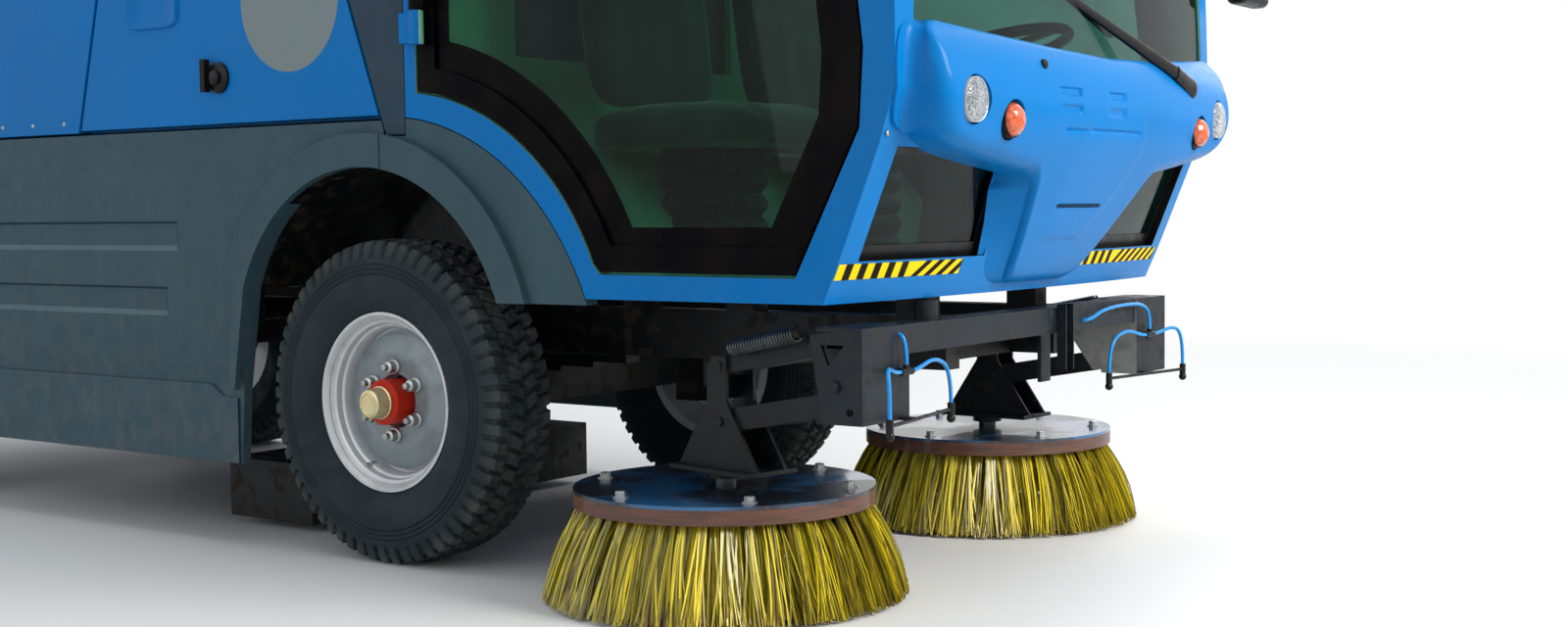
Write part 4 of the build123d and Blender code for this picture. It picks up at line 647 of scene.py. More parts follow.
@dataclass(frozen=True)
class Moulded:
    """Grained plastic or fibreglass panel with dusty streaks that run down it."""

    name: str
    colour: Colour
    grain: float = 0.0006
    roughness: float = 0.5
    dust: float = 0.2
    dust_top: float = 1.0

    def make(self) -> Material:
        """The finished material."""
        recipe = Recipe(self.name)
        lighter = scaled(self.colour, 1.25, 0.004)
        streak = recipe.ramp(recipe.noise(4.0, 3.0, (2.0, 2.0, 0.5)), 0.3, 0.8)
        colour = recipe.mix(recipe.times(streak, 0.5), self.colour, lighter)
        height = recipe.ramp(recipe.axis("Z"), 0.2, self.dust_top, self.dust, 0.02)
        share = recipe.times(height, recipe.ramp(recipe.noise(30.0, 8.0, (1.0, 1.0, 0.5)), 0.3, 0.9))
        colour = recipe.mix(share, colour, ROAD_DUST)
        rough = recipe.ramp(recipe.noise(30.0, 4.0), 0.3, 0.8, self.roughness - 0.08, self.roughness + 0.12)
        recipe.set(Base_Color=colour, Roughness=rough, Specular_IOR_Level=0.22,
                   Normal=recipe.bump(recipe.noise(700.0, 2.0), self.grain, 0.5))
        return recipe.material


@dataclass(frozen=True)
class Rubber:
    """Tyre or hose rubber: dark, with dust that follows the piece's tone attribute."""

    name: str
    colour: Colour = srgb(24, 36, 42)
    dust: float = 0.4
    by_tone: bool = True

    def make(self) -> Material:
        """The finished material."""
        recipe = Recipe(self.name)
        film = recipe.ramp(recipe.noise(16.0, 9.0), 0.3, 0.72)
        share = recipe.times(film, self.dust)
        if self.by_tone:
            share = recipe.times(share, recipe.attribute("tone"))
        faded = recipe.clouded(self.colour, scaled(self.colour, 1.4), 5.0, 3.0)
        colour = recipe.mix(share, faded, TREAD_DUST)
        relief = recipe.bump(recipe.noise(260.0, 5.0), 0.0008, 0.35)
        recipe.set(Base_Color=colour, Roughness=recipe.ramp(film, 0.0, 1.0, 0.62, 0.85), Normal=relief,
                   Specular_IOR_Level=0.25)
        return recipe.material


@dataclass(frozen=True)
class Metal:
    """Bare, plated or painted metal with fine scratches and grime in patches."""

    name: str
    colour: Colour
    metallic: float = 1.0
    roughness: float = 0.32
    grime: float = 0.3
    grime_colour: Colour = srgb(62, 52, 42)

    def make(self) -> Material:
        """The finished material."""
        recipe = Recipe(self.name)
        patch = recipe.ramp(recipe.noise(22.0, 7.0), 0.42, 0.72)
        share = recipe.times(patch, self.grime)
        colour = recipe.mix(share, self.colour, self.grime_colour)
        rough = recipe.ramp(recipe.noise(8.0, 6.0, FINE), 0.3, 0.8, self.roughness, self.roughness + 0.18)
        relief = recipe.bump(recipe.noise(90.0, 6.0), 0.0004, 0.25)
        recipe.set(Base_Color=colour, Roughness=rough, Metallic=self.metallic, Normal=relief)
        return recipe.material


@dataclass(frozen=True)
class Worn:
    """Dark machine paint, chipped to pale edges and caked with dried mud."""

    name: str
    colour: Colour = srgb(30, 44, 52)
    mud: float = 0.16
    roughness: float = 0.42

    def make(self) -> Material:
        """The finished material."""
        recipe = Recipe(self.name)
        cloud = recipe.clouded(self.colour, scaled(self.colour, 1.35, 0.001), 7.0, 6.0)
        chips = recipe.ramp(recipe.cells(130.0), 0.02, 0.09, 0.5, 0.0)
        chipped = recipe.mix(recipe.times(chips, recipe.ramp(recipe.noise(20.0, 3.0), 0.55, 0.7)),
                             cloud, CHIPPED)
        crust = recipe.ramp(recipe.noise(24.0, 9.0), 0.46, 0.72)
        share = recipe.times(crust, self.mud)
        colour = recipe.mix(share, chipped, ROAD_DUST)
        relief = recipe.bump(crust, 0.0012, 0.4, recipe.bump(recipe.noise(300.0, 3.0), 0.0003, 0.3))
        recipe.set(Base_Color=colour, Roughness=recipe.ramp(crust, 0.0, 1.0, self.roughness, 0.85),
                   Coat_Weight=0.05, Specular_IOR_Level=0.25, Normal=relief)
        return recipe.material


@dataclass(frozen=True)
class Glass:
    """Tinted pane that shows what stands behind it."""

    name: str
    tint: Colour
    ribs: float = 0.0

    def make(self) -> Material:
        """The finished material."""
        recipe = Recipe(self.name)
        recipe.set(Base_Color=recipe.clouded(self.tint, scaled(self.tint, 0.8), 5.0, 6.0, high=0.75), Roughness=0.0,
                   Transmission_Weight=1.0, IOR=LENS_IOR if self.ribs else PANE_IOR)
        if self.ribs:
            recipe.set(Normal=recipe.bump(recipe.cells(150.0), self.ribs, 0.9))
        return recipe.material


@dataclass(frozen=True)
class Lens:
    """Coloured lamp lens with a moulded pattern of small prisms."""

    name: str
    colour: Colour
    clear: float = 0.35

    def make(self) -> Material:
        """The finished material."""
        recipe = Recipe(self.name)
        prisms = recipe.cells(110.0)
        lighter = scaled(self.colour, 1.5, 0.05)
        recipe.set(Base_Color=recipe.mix(recipe.ramp(prisms, 0.1, 0.7), lighter, self.colour), Roughness=0.12,
                   Transmission_Weight=self.clear, Coat_Weight=1.0, Normal=recipe.bump(prisms, 0.0015, 0.6))
        return recipe.material


@dataclass(frozen=True)
class Fibre:
    """Brush bristles: each strand has its own tone, and the strands turn darker brown near the tip and near the root.
    """

    name: str
    bright: Colour = srgb(238, 216, 44)
    green: Colour = srgb(134, 124, 20)
    brown: Colour = srgb(92, 70, 30)

    def make(self) -> Material:
        """The finished material."""
        recipe = Recipe(self.name)
        tone = recipe.attribute("tone")
        live = recipe.mix(recipe.ramp(tone, 0.1, 0.72), self.bright, self.green)
        strand = recipe.mix(recipe.ramp(tone, 0.68, 0.92), live, self.brown)
        tip = recipe.ramp(recipe.axis("Z"), 0.0, 0.06, 0.45, 0.0)
        root = recipe.ramp(recipe.axis("Z"), 0.17, 0.215, 0.0, 0.5)
        colour = recipe.mix(recipe.calc("ADD", tip, root), strand, self.brown)
        recipe.set(Base_Color=colour, Roughness=0.38, Coat_Weight=0.25,
                   Normal=recipe.bump(recipe.noise(500.0, 3.0), 0.0003, 0.4))
        return recipe.material


@dataclass(frozen=True)
class WetPlate:
    """Brush disc: a wet dark plate with smooth wet pools, whose lighter blue is painted reflection of the sky, over a
    worn brown rim.
    """

    name: str
    dark: Colour = srgb(10, 18, 32)
    pool: Colour = srgb(38, 96, 142)
    ring: Colour = srgb(96, 56, 38)
    plate_low: float = 0.2425

    def make(self) -> Material:
        """The finished material."""
        recipe = Recipe(self.name)
        wet_pools_and_reflection = recipe.ramp(recipe.noise(5.0, 7.0), 0.42, 0.62)
        grit = recipe.ramp(recipe.noise(60.0, 8.0), 0.55, 0.75)
        # Lighter blue where the pools lie: painted reflection of the sky on the wet plate; the pools' smoothness is
        # real.
        plate = recipe.mix(recipe.times(grit, 0.3), recipe.mix(wet_pools_and_reflection, self.dark, self.pool), ROAD_DUST)
        streaks = recipe.ramp(recipe.noise(9.0, 6.0, (1.0, 1.0, 14.0)), 0.35, 0.7)
        ring = recipe.mix(streaks, self.ring, scaled(self.ring, 0.45))
        height = recipe.calc("GREATER_THAN", recipe.axis("Z"), self.plate_low)
        rough = recipe.ramp(wet_pools_and_reflection, 0.0, 1.0, 0.32, 0.14)
        dry = recipe.times(recipe.calc("SUBTRACT", 1.0, height), 0.35)
        recipe.set(Base_Color=recipe.mix(height, ring, plate), Roughness=recipe.calc("ADD", rough, dry),
                   Coat_Weight=0.35, Normal=recipe.bump(grit, 0.0006, 0.3))
        return recipe.material


@dataclass(frozen=True)
class Cloth:
    """Woven seat cover."""

    name: str
    colour: Colour

    def make(self) -> Material:
        """The finished material."""
        recipe = Recipe(self.name)
        weave = recipe.cells(420.0)
        worn = recipe.clouded(self.colour, scaled(self.colour, 1.7, 0.004), 6.0, 5.0)
        recipe.set(Base_Color=worn, Roughness=0.9, Sheen_Weight=0.3, Normal=recipe.bump(weave, 0.0002, 0.4))
        return recipe.material


class Finishes:
    """Every finish of the sweeper, made once."""

    def __init__(self) -> None:
        """Make the materials."""
        azure = srgb(0, 115, 188)
        slate = srgb(50, 76, 86)
        self.body = Paint("body_paint", azure).make()
        self.side_door = SideDoorPaint("side_door_paint", azure).make()
        self.moulded = Moulded("moulded_slate", slate).make()
        # Lighter copy of the panel slate for the rib recesses' lower walls: painted highlight where they face up.
        self.rib_edge = Moulded("rib_edge_slate", srgb(76, 104, 112)).make()
        self.column = Moulded("column_slate", srgb(32, 56, 72), dust=0.1).make()
        # Frame black: the frames' own black paint, made darker still as painted shade for the frames under the cab.
        self.frame = Worn("frame_black", srgb(6, 7, 10), mud=0.07).make()
        self.beam = Worn("beam_paint", srgb(12, 22, 30), mud=0.07).make()
        # Boom paint: dark teal darkened nearly to black, as painted shade for the links, brackets and heads that stand
        # in shade under the cab.
        self.boom = Worn("boom_paint", srgb(10, 16, 22), mud=0.09).make()
        self.door = Paint("door_black", srgb(2, 2, 5), coat=0.0, dust=0.0, clouding=0.0, shine=0.04).make()
        self.glass = Glass("pane_green", srgb(108, 144, 144)).make()
        self.dark_glass = Glass("pane_dark", srgb(140, 194, 174)).make()
        self.lens_clear = Glass("lens_clear", srgb(240, 244, 248), ribs=0.0012).make()
        self.lens_amber = Lens("lens_amber", srgb(208, 80, 0), clear=0.15).make()
        self.lens_red = Lens("lens_red", srgb(170, 14, 16)).make()
        self.black = Moulded("trim_black", srgb(9, 10, 13), roughness=0.35, dust=0.03).make()
        self.interior = Moulded("interior_grey", srgb(44, 66, 58), grain=0.0002, roughness=0.6, dust=0.0).make()
        self.lining = Moulded("cab_lining", srgb(128, 190, 164), grain=0.0002, roughness=0.6, dust=0.0).make()
        self.cloth = Cloth("seat_cloth", srgb(20, 30, 34)).make()
        self.iron = Worn("engine_iron", srgb(70, 72, 72), mud=0.3).make()
        self.steel = Metal("worn_steel", srgb(176, 178, 178)).make()
        self.dark_steel = Metal("dark_steel", srgb(88, 94, 98), metallic=0.8, roughness=0.36, grime=0.5).make()
        self.galvanised = Metal("galvanised", srgb(170, 172, 168), metallic=0.7, roughness=0.48).make()
        self.silver = Metal("silver_paint", srgb(206, 208, 210), metallic=0.35, roughness=0.3, grime=0.16,
                            grime_colour=srgb(120, 112, 100)).make()
        self.disc_grey = Metal("rim_disc_grey", srgb(132, 142, 146), metallic=0.35, roughness=0.42, grime=0.3,
                               grime_colour=srgb(74, 72, 66)).make()
        self.reflector = Metal("reflector", srgb(238, 242, 244), metallic=0.4, roughness=0.12, grime=0.0).make()
        self.red = Paint("hub_red", srgb(196, 44, 26), dust=0.2, dust_top=0.8).make()
        self.brass = Metal("cap_brass", srgb(222, 208, 160), metallic=0.8, roughness=0.28, grime=0.25).make()
        self.tyre = Rubber("tyre_rubber").make()
        self.duct = Rubber("duct_rubber", by_tone=False, dust=0.3).make()
        self.disc = WetPlate("brush_disc_wet").make()
        self.bristle = Fibre("bristle_fibre").make()
        self.hose = Paint("hose_blue", srgb(20, 142, 220), roughness=0.2, coat=0.4, dust=0.1).make()
        self.motor = Worn("motor_tan", srgb(128, 104, 76), mud=0.5).make()
        self.mirror = Metal("mirror_face", srgb(210, 214, 216), roughness=0.03, grime=0.05).make()
        self.tape_yellow = Paint("tape_yellow", srgb(255, 214, 0), roughness=0.4, coat=0.0, dust=0.06).make()
        self.tape_black = Paint("tape_black", srgb(18, 14, 8), roughness=0.5, coat=0.0, dust=0.05).make()


@dataclass
class Tyre:
    """Tyre with moulded sidewall rings and a chunky lugged tread."""

    node: str
    body: str
    half_width: float = 0.1075
    radius: float = 0.400
    bead_radius: float = 0.208
    bead_half: float = 0.0745
    lugs: int = 60
    lug_depth: float = 0.0125
    samples: int = 12
    sidewall: Profile = (
        (0.0740, 0.2085), (0.0790, 0.2240), (0.0860, 0.2300), (0.0950, 0.2440), (0.1020, 0.2640), (0.1062, 0.2860),
        (0.1072, 0.3020), (0.1066, 0.3110), (0.1024, 0.3155), (0.1060, 0.3200), (0.1062, 0.3225), (0.1020, 0.3270),
        (0.1054, 0.3315), (0.1056, 0.3340), (0.1014, 0.3385), (0.1046, 0.3430), (0.1046, 0.3460), (0.1004, 0.3540),
    )
    shoulder: Pair = (0.0985, 0.3640)
    tread_half: float = 0.086
    crown_drop: float = 0.005
    tread_rows: int = 36
    zigzag: float = 0.07
    shoulder_lane: Pair = (0.55, 0.57)
    middle_lane: Pair = (0.50, 0.52)
    ring_groove: Pair = (0.545, 0.065)
    centre_groove: float = 0.045
    groove_wall: float = 0.015
    shoulder_drop: float = 0.016
    dusty_radii: Pair = (0.345, 0.39)

    def tread_depth(self, turn: np.ndarray, across: np.ndarray) -> np.ndarray:
        """How far the tread lies below the lugs' tops. The shoulder has one cross groove a
        pitch, the middle has two rows of blocks, half a pitch apart, and zigzag grooves
        part the rows.

        Args:
            turn: Place round the tyre, in pitches.
            across: Place across the tread, from -1 to 1.

        Returns:
            One in the grooves and zero on the lugs, with soft walls.
        """
        side = np.abs(across)
        wave = self.zigzag * np.sin(2 * math.pi * turn)
        lane = side + np.sign(across) * wave
        slant = turn + 0.35 * side + 0.5 * (across > 0)
        gap = np.abs((slant % 1.0) - 0.5) * 2
        shoulder = smooth_step(gap, 0.64, 0.74) * smooth_step(lane, *self.shoulder_lane)
        inner = np.abs(((turn + 0.9 * side + 0.25 + 0.5 * (across > 0)) % 1.0) - 0.5) * 2
        blocks = smooth_step(inner, 0.70, 0.80) * (1 - smooth_step(lane, *self.middle_lane))
        place_across, half = self.ring_groove
        ring = smooth_step(half - np.abs(lane - place_across), 0.0, self.groove_wall)
        centre = smooth_step(self.centre_groove - np.abs(across + 0.8 * wave), 0.0, self.groove_wall)
        return np.maximum.reduce([shoulder, blocks, ring, centre])

    def build(self, finish: Material) -> None:
        """Carry the tyre's half profile round the axle, with the tread cut into it.

        Args:
            finish: Rubber of the tyre.
        """
        centre = middle(self.node)
        steps = self.lugs * self.samples
        pitch = np.arange(steps) / self.samples
        across = np.linspace(-1, 1, self.tread_rows)
        crown = self.radius - self.crown_drop * across ** 4
        wall = np.array(self.sidewall)
        turn_grid, across_grid = np.meshgrid(pitch, across)
        cut = self.tread_depth(turn_grid, across_grid) * self.lug_depth
        tread_radius = crown[:, None] - cut
        tread_out = np.broadcast_to((across * self.tread_half)[:, None], tread_radius.shape)
        parts = []
        for sign in (-1, 1):
            notch = self.tread_depth(pitch, np.full(steps, 0.98 * sign)) * self.lug_depth
            edge_out = np.stack([np.full(steps, self.shoulder[0]) - notch * 0.8,
                                 np.full(steps, self.tread_half + 0.006) - notch * 0.6])
            edge_radius = np.stack([np.full(steps, self.shoulder[1]),
                                    np.full(steps, self.radius - self.shoulder_drop) - notch * 0.6])
            wall_out = np.broadcast_to(wall[:, :1], (len(wall), steps))
            wall_radius = np.broadcast_to(wall[:, 1:], (len(wall), steps))
            out = np.concatenate((wall_out, edge_out)) * sign
            radius = np.concatenate((wall_radius, edge_radius))
            parts.append((out, radius) if sign < 0 else (out[::-1], radius[::-1]))
        out = np.concatenate((parts[0][0], tread_out, parts[1][0]))
        radius = np.concatenate((parts[0][1], tread_radius, parts[1][1]))
        angle = pitch * 2 * math.pi / self.lugs
        points = np.stack((centre[0] + radius * np.sin(angle), centre[1] + out,
                           centre[2] + radius * np.cos(angle)), axis=-1)
        tone = smooth_step(radius, *self.dusty_radii) * 0.9 + 0.1
        skin = Skin(f"Tread_{self.node}").grid(points, wrap_columns=True, tone=tone)
        bead = [(-self.bead_half, self.bead_radius), (self.bead_half, self.bead_radius)]
        skin.grid(lathe(bead, centre, (0, 1, 0), steps))
        skin.build(self.body, finish, 32.0, "tyre_rubber", (self.node,))


@dataclass
class Rim:
    """Silver rim with its recessed disc, six long nuts, red hub and brass cap."""

    node: str
    body: str
    side: Side
    profile: Profile = (
        (-0.0840, 0.1970), (-0.0840, 0.2220), (-0.0760, 0.2220), (-0.0750, 0.2062), (0.0740, 0.2062),
        (0.0750, 0.2200), (0.0790, 0.2222), (0.0838, 0.2215), (0.0840, 0.2150), (0.0790, 0.2090), (0.0660, 0.2045),
        (0.0620, 0.2000), (0.0600, 0.1950), (0.0540, 0.1925), (0.0460, 0.1910), (0.0440, 0.1870), (0.0400, 0.1840),
        (0.0200, 0.1825), (0.0080, 0.1810), (0.0060, 0.1760), (0.0140, 0.1735), (0.0260, 0.1700), (0.0330, 0.1600),
        (0.0360, 0.1440), (0.0420, 0.1300), (0.0440, 0.1180), (0.0430, 0.1080), (0.0420, 0.1020), (0.0420, 0.0690),
        (0.0400, 0.0670), (0.0200, 0.0665), (0.0000, 0.0665), (0.0000, 0.1700), (-0.0760, 0.1950),
    )
    hub: Profile = (
        (0.0000, 0.0100), (0.0000, 0.0560), (0.0860, 0.0560), (0.0890, 0.0530), (0.0900, 0.0450), (0.0900, 0.0100),
    )
    cap: Profile = (
        (0.0860, 0.0100), (0.0880, 0.0400), (0.0960, 0.0410), (0.0980, 0.0380), (0.1240, 0.0360), (0.1300, 0.0345),
        (0.1325, 0.0310), (0.1330, 0.0260), (0.1310, 0.0250), (0.1310, 0.0010),
    )
    nut: Profile = (
        (0.0400, 0.0180), (0.0470, 0.0200), (0.0500, 0.0180), (0.0510, 0.0150), (0.0680, 0.0145), (0.0700, 0.0110),
        (0.0710, 0.0080), (0.0820, 0.0075), (0.0830, 0.0010),
    )
    disc_radii: tuple[float, ...] = (0.1700, 0.1600, 0.1440, 0.1300, 0.1180, 0.1080, 0.1020, 0.0690)
    disc_proud: float = 0.0008
    nut_count: int = 6
    nut_start: float = math.pi / 6
    nut_circle: float = 0.085
    valve: Profile = (
        (0.0300, 0.0005), (0.0300, 0.0060), (0.0480, 0.0050), (0.0500, 0.0036), (0.0640, 0.0034), (0.0650, 0.0005),
    )
    valve_radius: float = 0.186
    valve_turn: float = 4.2

    def build(self, finishes: Finishes) -> None:
        """Turn the rim, hub, cap, nuts and valve about the axle and its small circles.

        Args:
            finishes: The sweeper's finishes.
        """
        node, body = self.node, self.body
        centre = middle("tyre" + node[3:])
        axis = (0, self.side.value, 0)
        Skin(f"Dish_{node}").turned(self.profile, centre, axis, 96, ring=True).build(
            body, finishes.silver, 38.0, "rim_silver", (node,))
        front = np.array([spot for spot in self.profile if spot[1] in self.disc_radii]) + (self.disc_proud, 0.0)
        back = front[::-1] - (2 * self.disc_proud, 0.0)
        Skin(f"Disc_{node}").turned(np.concatenate((front, back)), centre, axis, 96, ring=True).build(
            body, finishes.disc_grey, 38.0)
        Skin(f"Hub_{node}").turned(self.hub, centre, axis, 48).build(body, finishes.red)
        Skin(f"Cap_{node}").turned(self.cap, centre, axis, 48).build(body, finishes.brass)
        nuts = Skin(f"Nuts_{node}")
        turns = [(index / self.nut_count * 2 * math.pi + self.nut_start, self.nut_circle, self.nut)
                 for index in range(self.nut_count)]
        for turn, radius, profile in (*turns, (self.valve_turn, self.valve_radius, self.valve)):
            spot = (centre[0] + radius * math.cos(turn), centre[1], centre[2] + radius * math.sin(turn))
            nuts.turned(profile, spot, axis, 12)
        nuts.build(body, finishes.steel, 30.0)


@dataclass
class Brush:
    """Strands of one side brush, spread from the ring's holes to the ground."""

    side: Side
    strands: int = 3200
    tufts: int = 44
    rows: tuple[float, ...] = (0.268, 0.286, 0.304, 0.320)
    top: float = 0.2095
    tip: float = 0.0045
    tip_reach: Pair = (0.335, 0.411)
    thickness: float = 0.0017
    rings: int = 6
    seed: int = 41
    turn_spread: float = 0.016
    root_spread: float = 0.003
    row_spread: float = 0.45
    drift_spread: float = 0.035
    tip_spread: float = 0.007
    kink_spread: float = 0.006

    def build(self, finish: Material) -> None:
        """Bend each strand outwards: its radius grows with the square root of the drop, and
        its angle drifts a little, so that the strands cross and clump as worn ones do.

        Args:
            finish: Fibre of the bristles.
        """
        node = f"bristles_{self.side.word}"
        centre = middle(node)
        chance = np.random.default_rng(self.seed + self.side.value)
        count = self.strands
        tuft = chance.integers(0, self.tufts, count)
        row = chance.integers(0, len(self.rows), count)
        angle = (tuft + 0.5 * (row % 2)) * 2 * math.pi / self.tufts
        angle = angle + chance.normal(0, self.turn_spread, count)
        root = np.array(self.rows)[row] + chance.normal(0, self.root_spread, count)
        near, far = self.tip_reach
        reach = near + (far - near) * (row + 1 + chance.normal(0, self.row_spread, count)) / len(self.rows)
        reach = np.clip(reach, near, far)
        drift = chance.normal(0, self.drift_spread, count) + 0.02 * np.sin(tuft * 2.4)
        tip = self.tip + np.abs(chance.normal(0, self.tip_spread, count))
        share = np.linspace(0, 1, self.rings)[:, None]
        bend = share ** 0.85
        kink = chance.normal(0, self.kink_spread, count) * np.sin(share * math.pi)
        radius = root + (reach - root) * bend + kink
        turn = angle + drift * share ** 1.3
        height = self.top + (tip - self.top) * share
        axis = np.stack((centre[0] + radius * np.cos(turn), centre[1] + radius * np.sin(turn),
                         np.broadcast_to(height, radius.shape)), axis=-1)
        outward = np.stack((np.cos(turn), np.sin(turn), np.zeros_like(turn)), axis=-1)
        sideways = np.stack((-np.sin(turn), np.cos(turn), np.zeros_like(turn)), axis=-1)
        width = self.thickness * (1.15 - 0.3 * share)[..., None]
        ring = np.stack((axis + sideways * width * 1.25, axis - sideways * width * 0.6 + outward * width,
                         axis - sideways * width * 0.6 - outward * width), axis=2)
        points = ring.transpose(1, 0, 2, 3)
        tone = np.clip(chance.random(count) * 0.75 + 0.2 * chance.random(self.tufts)[tuft], 0, 1)
        strand = np.arange(count)[:, None, None] * self.rings * 3
        level = np.arange(self.rings - 1)[None, :, None] * 3
        corner = np.arange(3)[None, None, :]
        following = (corner + 1) % 3
        faces = np.stack((strand + level + corner, strand + level + following,
                          strand + level + following + 3, strand + level + corner + 3), axis=-1)
        skin = Skin(f"Strands_{self.side.word}")
        skin.add(points, faces, np.repeat(tone, self.rings * 3))
        skin.build(f"brush_{self.side.word}", finish, 75.0, "bristle_green", (node,))


@dataclass
class Nose:
    """Moulding under the windscreen: a full-width band with a lamp pod at each end, and a
    keel that tapers down between the corner windows. A closed outline is carried inwards
    to a level spine, and every point stands ahead of the cab by the middle profile's
    reach, less the bow and a rolled edge."""

    profile: Profile = (
        (0.676, 1.398), (0.712, 1.433), (0.800, 1.492), (0.900, 1.552), (0.962, 1.588), (1.008, 1.613),
        (1.070, 1.628), (1.130, 1.622), (1.180, 1.604), (1.215, 1.578), (1.240, 1.556),
    )
    outline: Profile = (
        (0.000, 0.690), (0.150, 0.690), (0.166, 0.700), (0.234, 0.827), (0.284, 0.922), (0.304, 0.936),
        (0.480, 0.956), (0.640, 0.980), (0.712, 1.006), (0.738, 1.060), (0.742, 1.130), (0.738, 1.200),
        (0.716, 1.236), (0.500, 1.220), (0.250, 1.204), (0.000, 1.196),
    )
    flare: Profile = ((0.700, 0.093), (0.827, 0.062), (0.900, 0.056), (0.935, 0.0))
    flange: float = 0.045
    flange_lift: float = 0.003
    sunk: float = 0.012
    fillet: float = 0.030
    spine_half: float = 0.50
    spine_z: float = 1.10
    roll: Profile = (
        (0.700, 0.018), (0.920, 0.020), (0.960, 0.034), (1.000, 0.040), (1.060, 0.034), (1.170, 0.030), (1.200, 0.010),
    )
    around: int = 640
    rows: int = 84
    roll_rows: int = 9
    slots: tuple[tuple[float, float, float, float], ...] = (
        (-0.255, 1.108, 0.048, 0.008), (-0.030, 1.106, 0.042, 0.008), (-0.249, 1.071, 0.044, 0.008),
        (-0.031, 1.070, 0.042, 0.008), (-0.073, 1.028, 0.187, 0.003), (-0.036, 0.864, 0.108, 0.0028),
    )
    shield: Profile = (
        (0.790, 0.080), (0.797, 0.092), (0.859, 0.142), (0.951, 0.186), (1.023, 0.182), (1.069, 0.140), (1.085, 0.100),
    )
    shield_y: float = -0.033
    shield_rise: float = 0.004
    shield_fade: Pair = (1.00, 1.12)
    slot_depth: float = 0.006
    slot_soft: float = 0.003
    profile_blur: float = 0.022
    bow_share: float = 0.9
    back_x: float = 1.46
    lamps: tuple[Three, ...] = ((0.631, 1.077, 0.050), (0.489, 1.041, 0.042))
    bore_start: float = 1.560
    bore_length: float = 0.2
    sharp: float = 38.0

    def reach(self, y: np.ndarray, z: np.ndarray) -> np.ndarray:
        """Front surface ahead of the axle: the middle profile less the bow, with the slots
        and the shield's outline pressed in.

        Args:
            y: Places across.
            z: Heights.

        Returns:
            Distances ahead of the axle.
        """
        heights, reaches = np.array(self.profile).T
        blur = self.profile_blur
        ahead = sum(np.interp(z + shift, heights, reaches) for shift in np.linspace(-blur, blur, 9)) / 9
        front = ahead - sagitta(y) * self.bow_share
        for slot_y, slot_z, half, half_height in self.slots:
            inside = smooth_step(half - np.abs(y - slot_y), -self.slot_soft, self.slot_soft)
            inside = inside * smooth_step(half_height - np.abs(z - slot_z), -self.slot_soft, self.slot_soft)
            front = front - self.slot_depth * inside
        levels, halves = np.array(self.shield).T
        edge = np.interp(z, levels, halves)
        aside = y - self.shield_y
        soft = np.where(aside < 0, 0.06, 0.007)
        panel = smooth_step((edge - np.abs(aside)) / soft, -1.0, 1.0) * smooth_step(z - levels[0], -0.005, 0.007)
        panel = panel * (1 - smooth_step(z, self.shield_fade[0], levels[-1]))
        return front - self.shield_rise * (1 - panel) * (1 - smooth_step(z, *self.shield_fade))

    def edge(self) -> np.ndarray:
        """Closed outline in Y and Z, its corners rounded by averaging along its length."""
        half = np.array(self.outline)
        whole = np.concatenate((half, (half * (-1, 1))[::-1][1:-1]))
        loop = np.concatenate((whole, whole[:1]))
        length = np.concatenate(([0], np.cumsum(np.linalg.norm(np.diff(loop, axis=0), axis=1))))
        spots = np.linspace(0, length[-1], self.around, endpoint=False)
        dense = np.stack([np.interp(spots, length, loop[:, column]) for column in (0, 1)], axis=-1)
        wide = 6
        return sum(np.roll(dense, shift, axis=0) for shift in range(-wide, wide + 1)) / (2 * wide + 1)

    def build(self, finish: Material) -> None:
        """Carry the outline inwards, roll its edge, and bore the lamp holes. Behind the
        roll a flat wall goes back to the cab; at the pods a hollow fillet turns it out
        into a flange, and at the keel it spreads.

        Args:
            finish: Body paint.
        """
        edge = self.edge()
        spine = np.stack((np.clip(edge[:, 0], -self.spine_half, self.spine_half),
                          np.full(len(edge), self.spine_z)), axis=-1)
        gap = spine - edge
        inward = gap / np.maximum(np.linalg.norm(gap, axis=1, keepdims=True), 1e-6)
        heights, flares = np.array(self.flare).T
        levels, rolls = np.array(self.roll).T
        roll = np.interp(edge[:, 1], levels, rolls)[:, None]
        outward = np.sign(edge[:, 0])
        spread = np.interp(edge[:, 1], heights, flares) * smooth_step(np.abs(edge[:, 0]), 0.09, 0.15)
        pod = smooth_step(np.abs(edge[:, 0]), 0.690, 0.728)
        wall = cab_front(edge[:, 0], edge[:, 1])
        base = np.where(pod > 0.5, self.flange_lift, -self.sunk)
        aside = edge[:, 0] + outward * (spread + pod * self.flange)
        rows = [np.column_stack((ahead, aside, edge[:, 1])) for ahead in (wall - self.sunk, wall + base)]
        for angle in np.linspace(0, math.pi / 2, 6):
            ahead = wall + base + pod * self.fillet * (1 - math.cos(angle))
            aside = edge[:, 0] + outward * (spread + pod * self.fillet * (1 - math.sin(angle)))
            rows.append(np.column_stack((ahead, aside, edge[:, 1])))
        first = np.column_stack((self.reach(edge[:, 0], edge[:, 1]) - roll[:, 0], edge))
        rows += [rows[-1] + (first - rows[-1]) * share for share in (0.04, 0.5, 0.97)]
        for angle in np.linspace(0, math.pi / 2, self.roll_rows):
            spot = edge + inward * roll * (1 - math.cos(angle))
            ahead = self.reach(spot[:, 0], spot[:, 1]) - roll[:, 0] * (1 - math.sin(angle))
            rows.append(np.column_stack((ahead, spot)))
        start = edge + inward * roll
        for share in np.linspace(0, 1, self.rows)[1:]:
            spot = start + (spine - start) * share
            rows.append(np.column_stack((self.reach(spot[:, 0], spot[:, 1]), spot)))
        points = np.stack(rows)
        points[..., 0] += AXLE_X
        skin = Skin("Nose_moulding").grid(points, wrap_columns=True)
        behind = points[:1].repeat(2, axis=0)
        behind[1, :, 0] = AXLE_X + bowed_x(np.full(len(edge), self.back_x), spine[:, 0])
        behind[1, :, 1:] = spine
        skin.grid(behind[::-1], wrap_columns=True)
        self.bore(skin.build("root", finish, self.sharp, "body_blue", ("nose_panel",)))

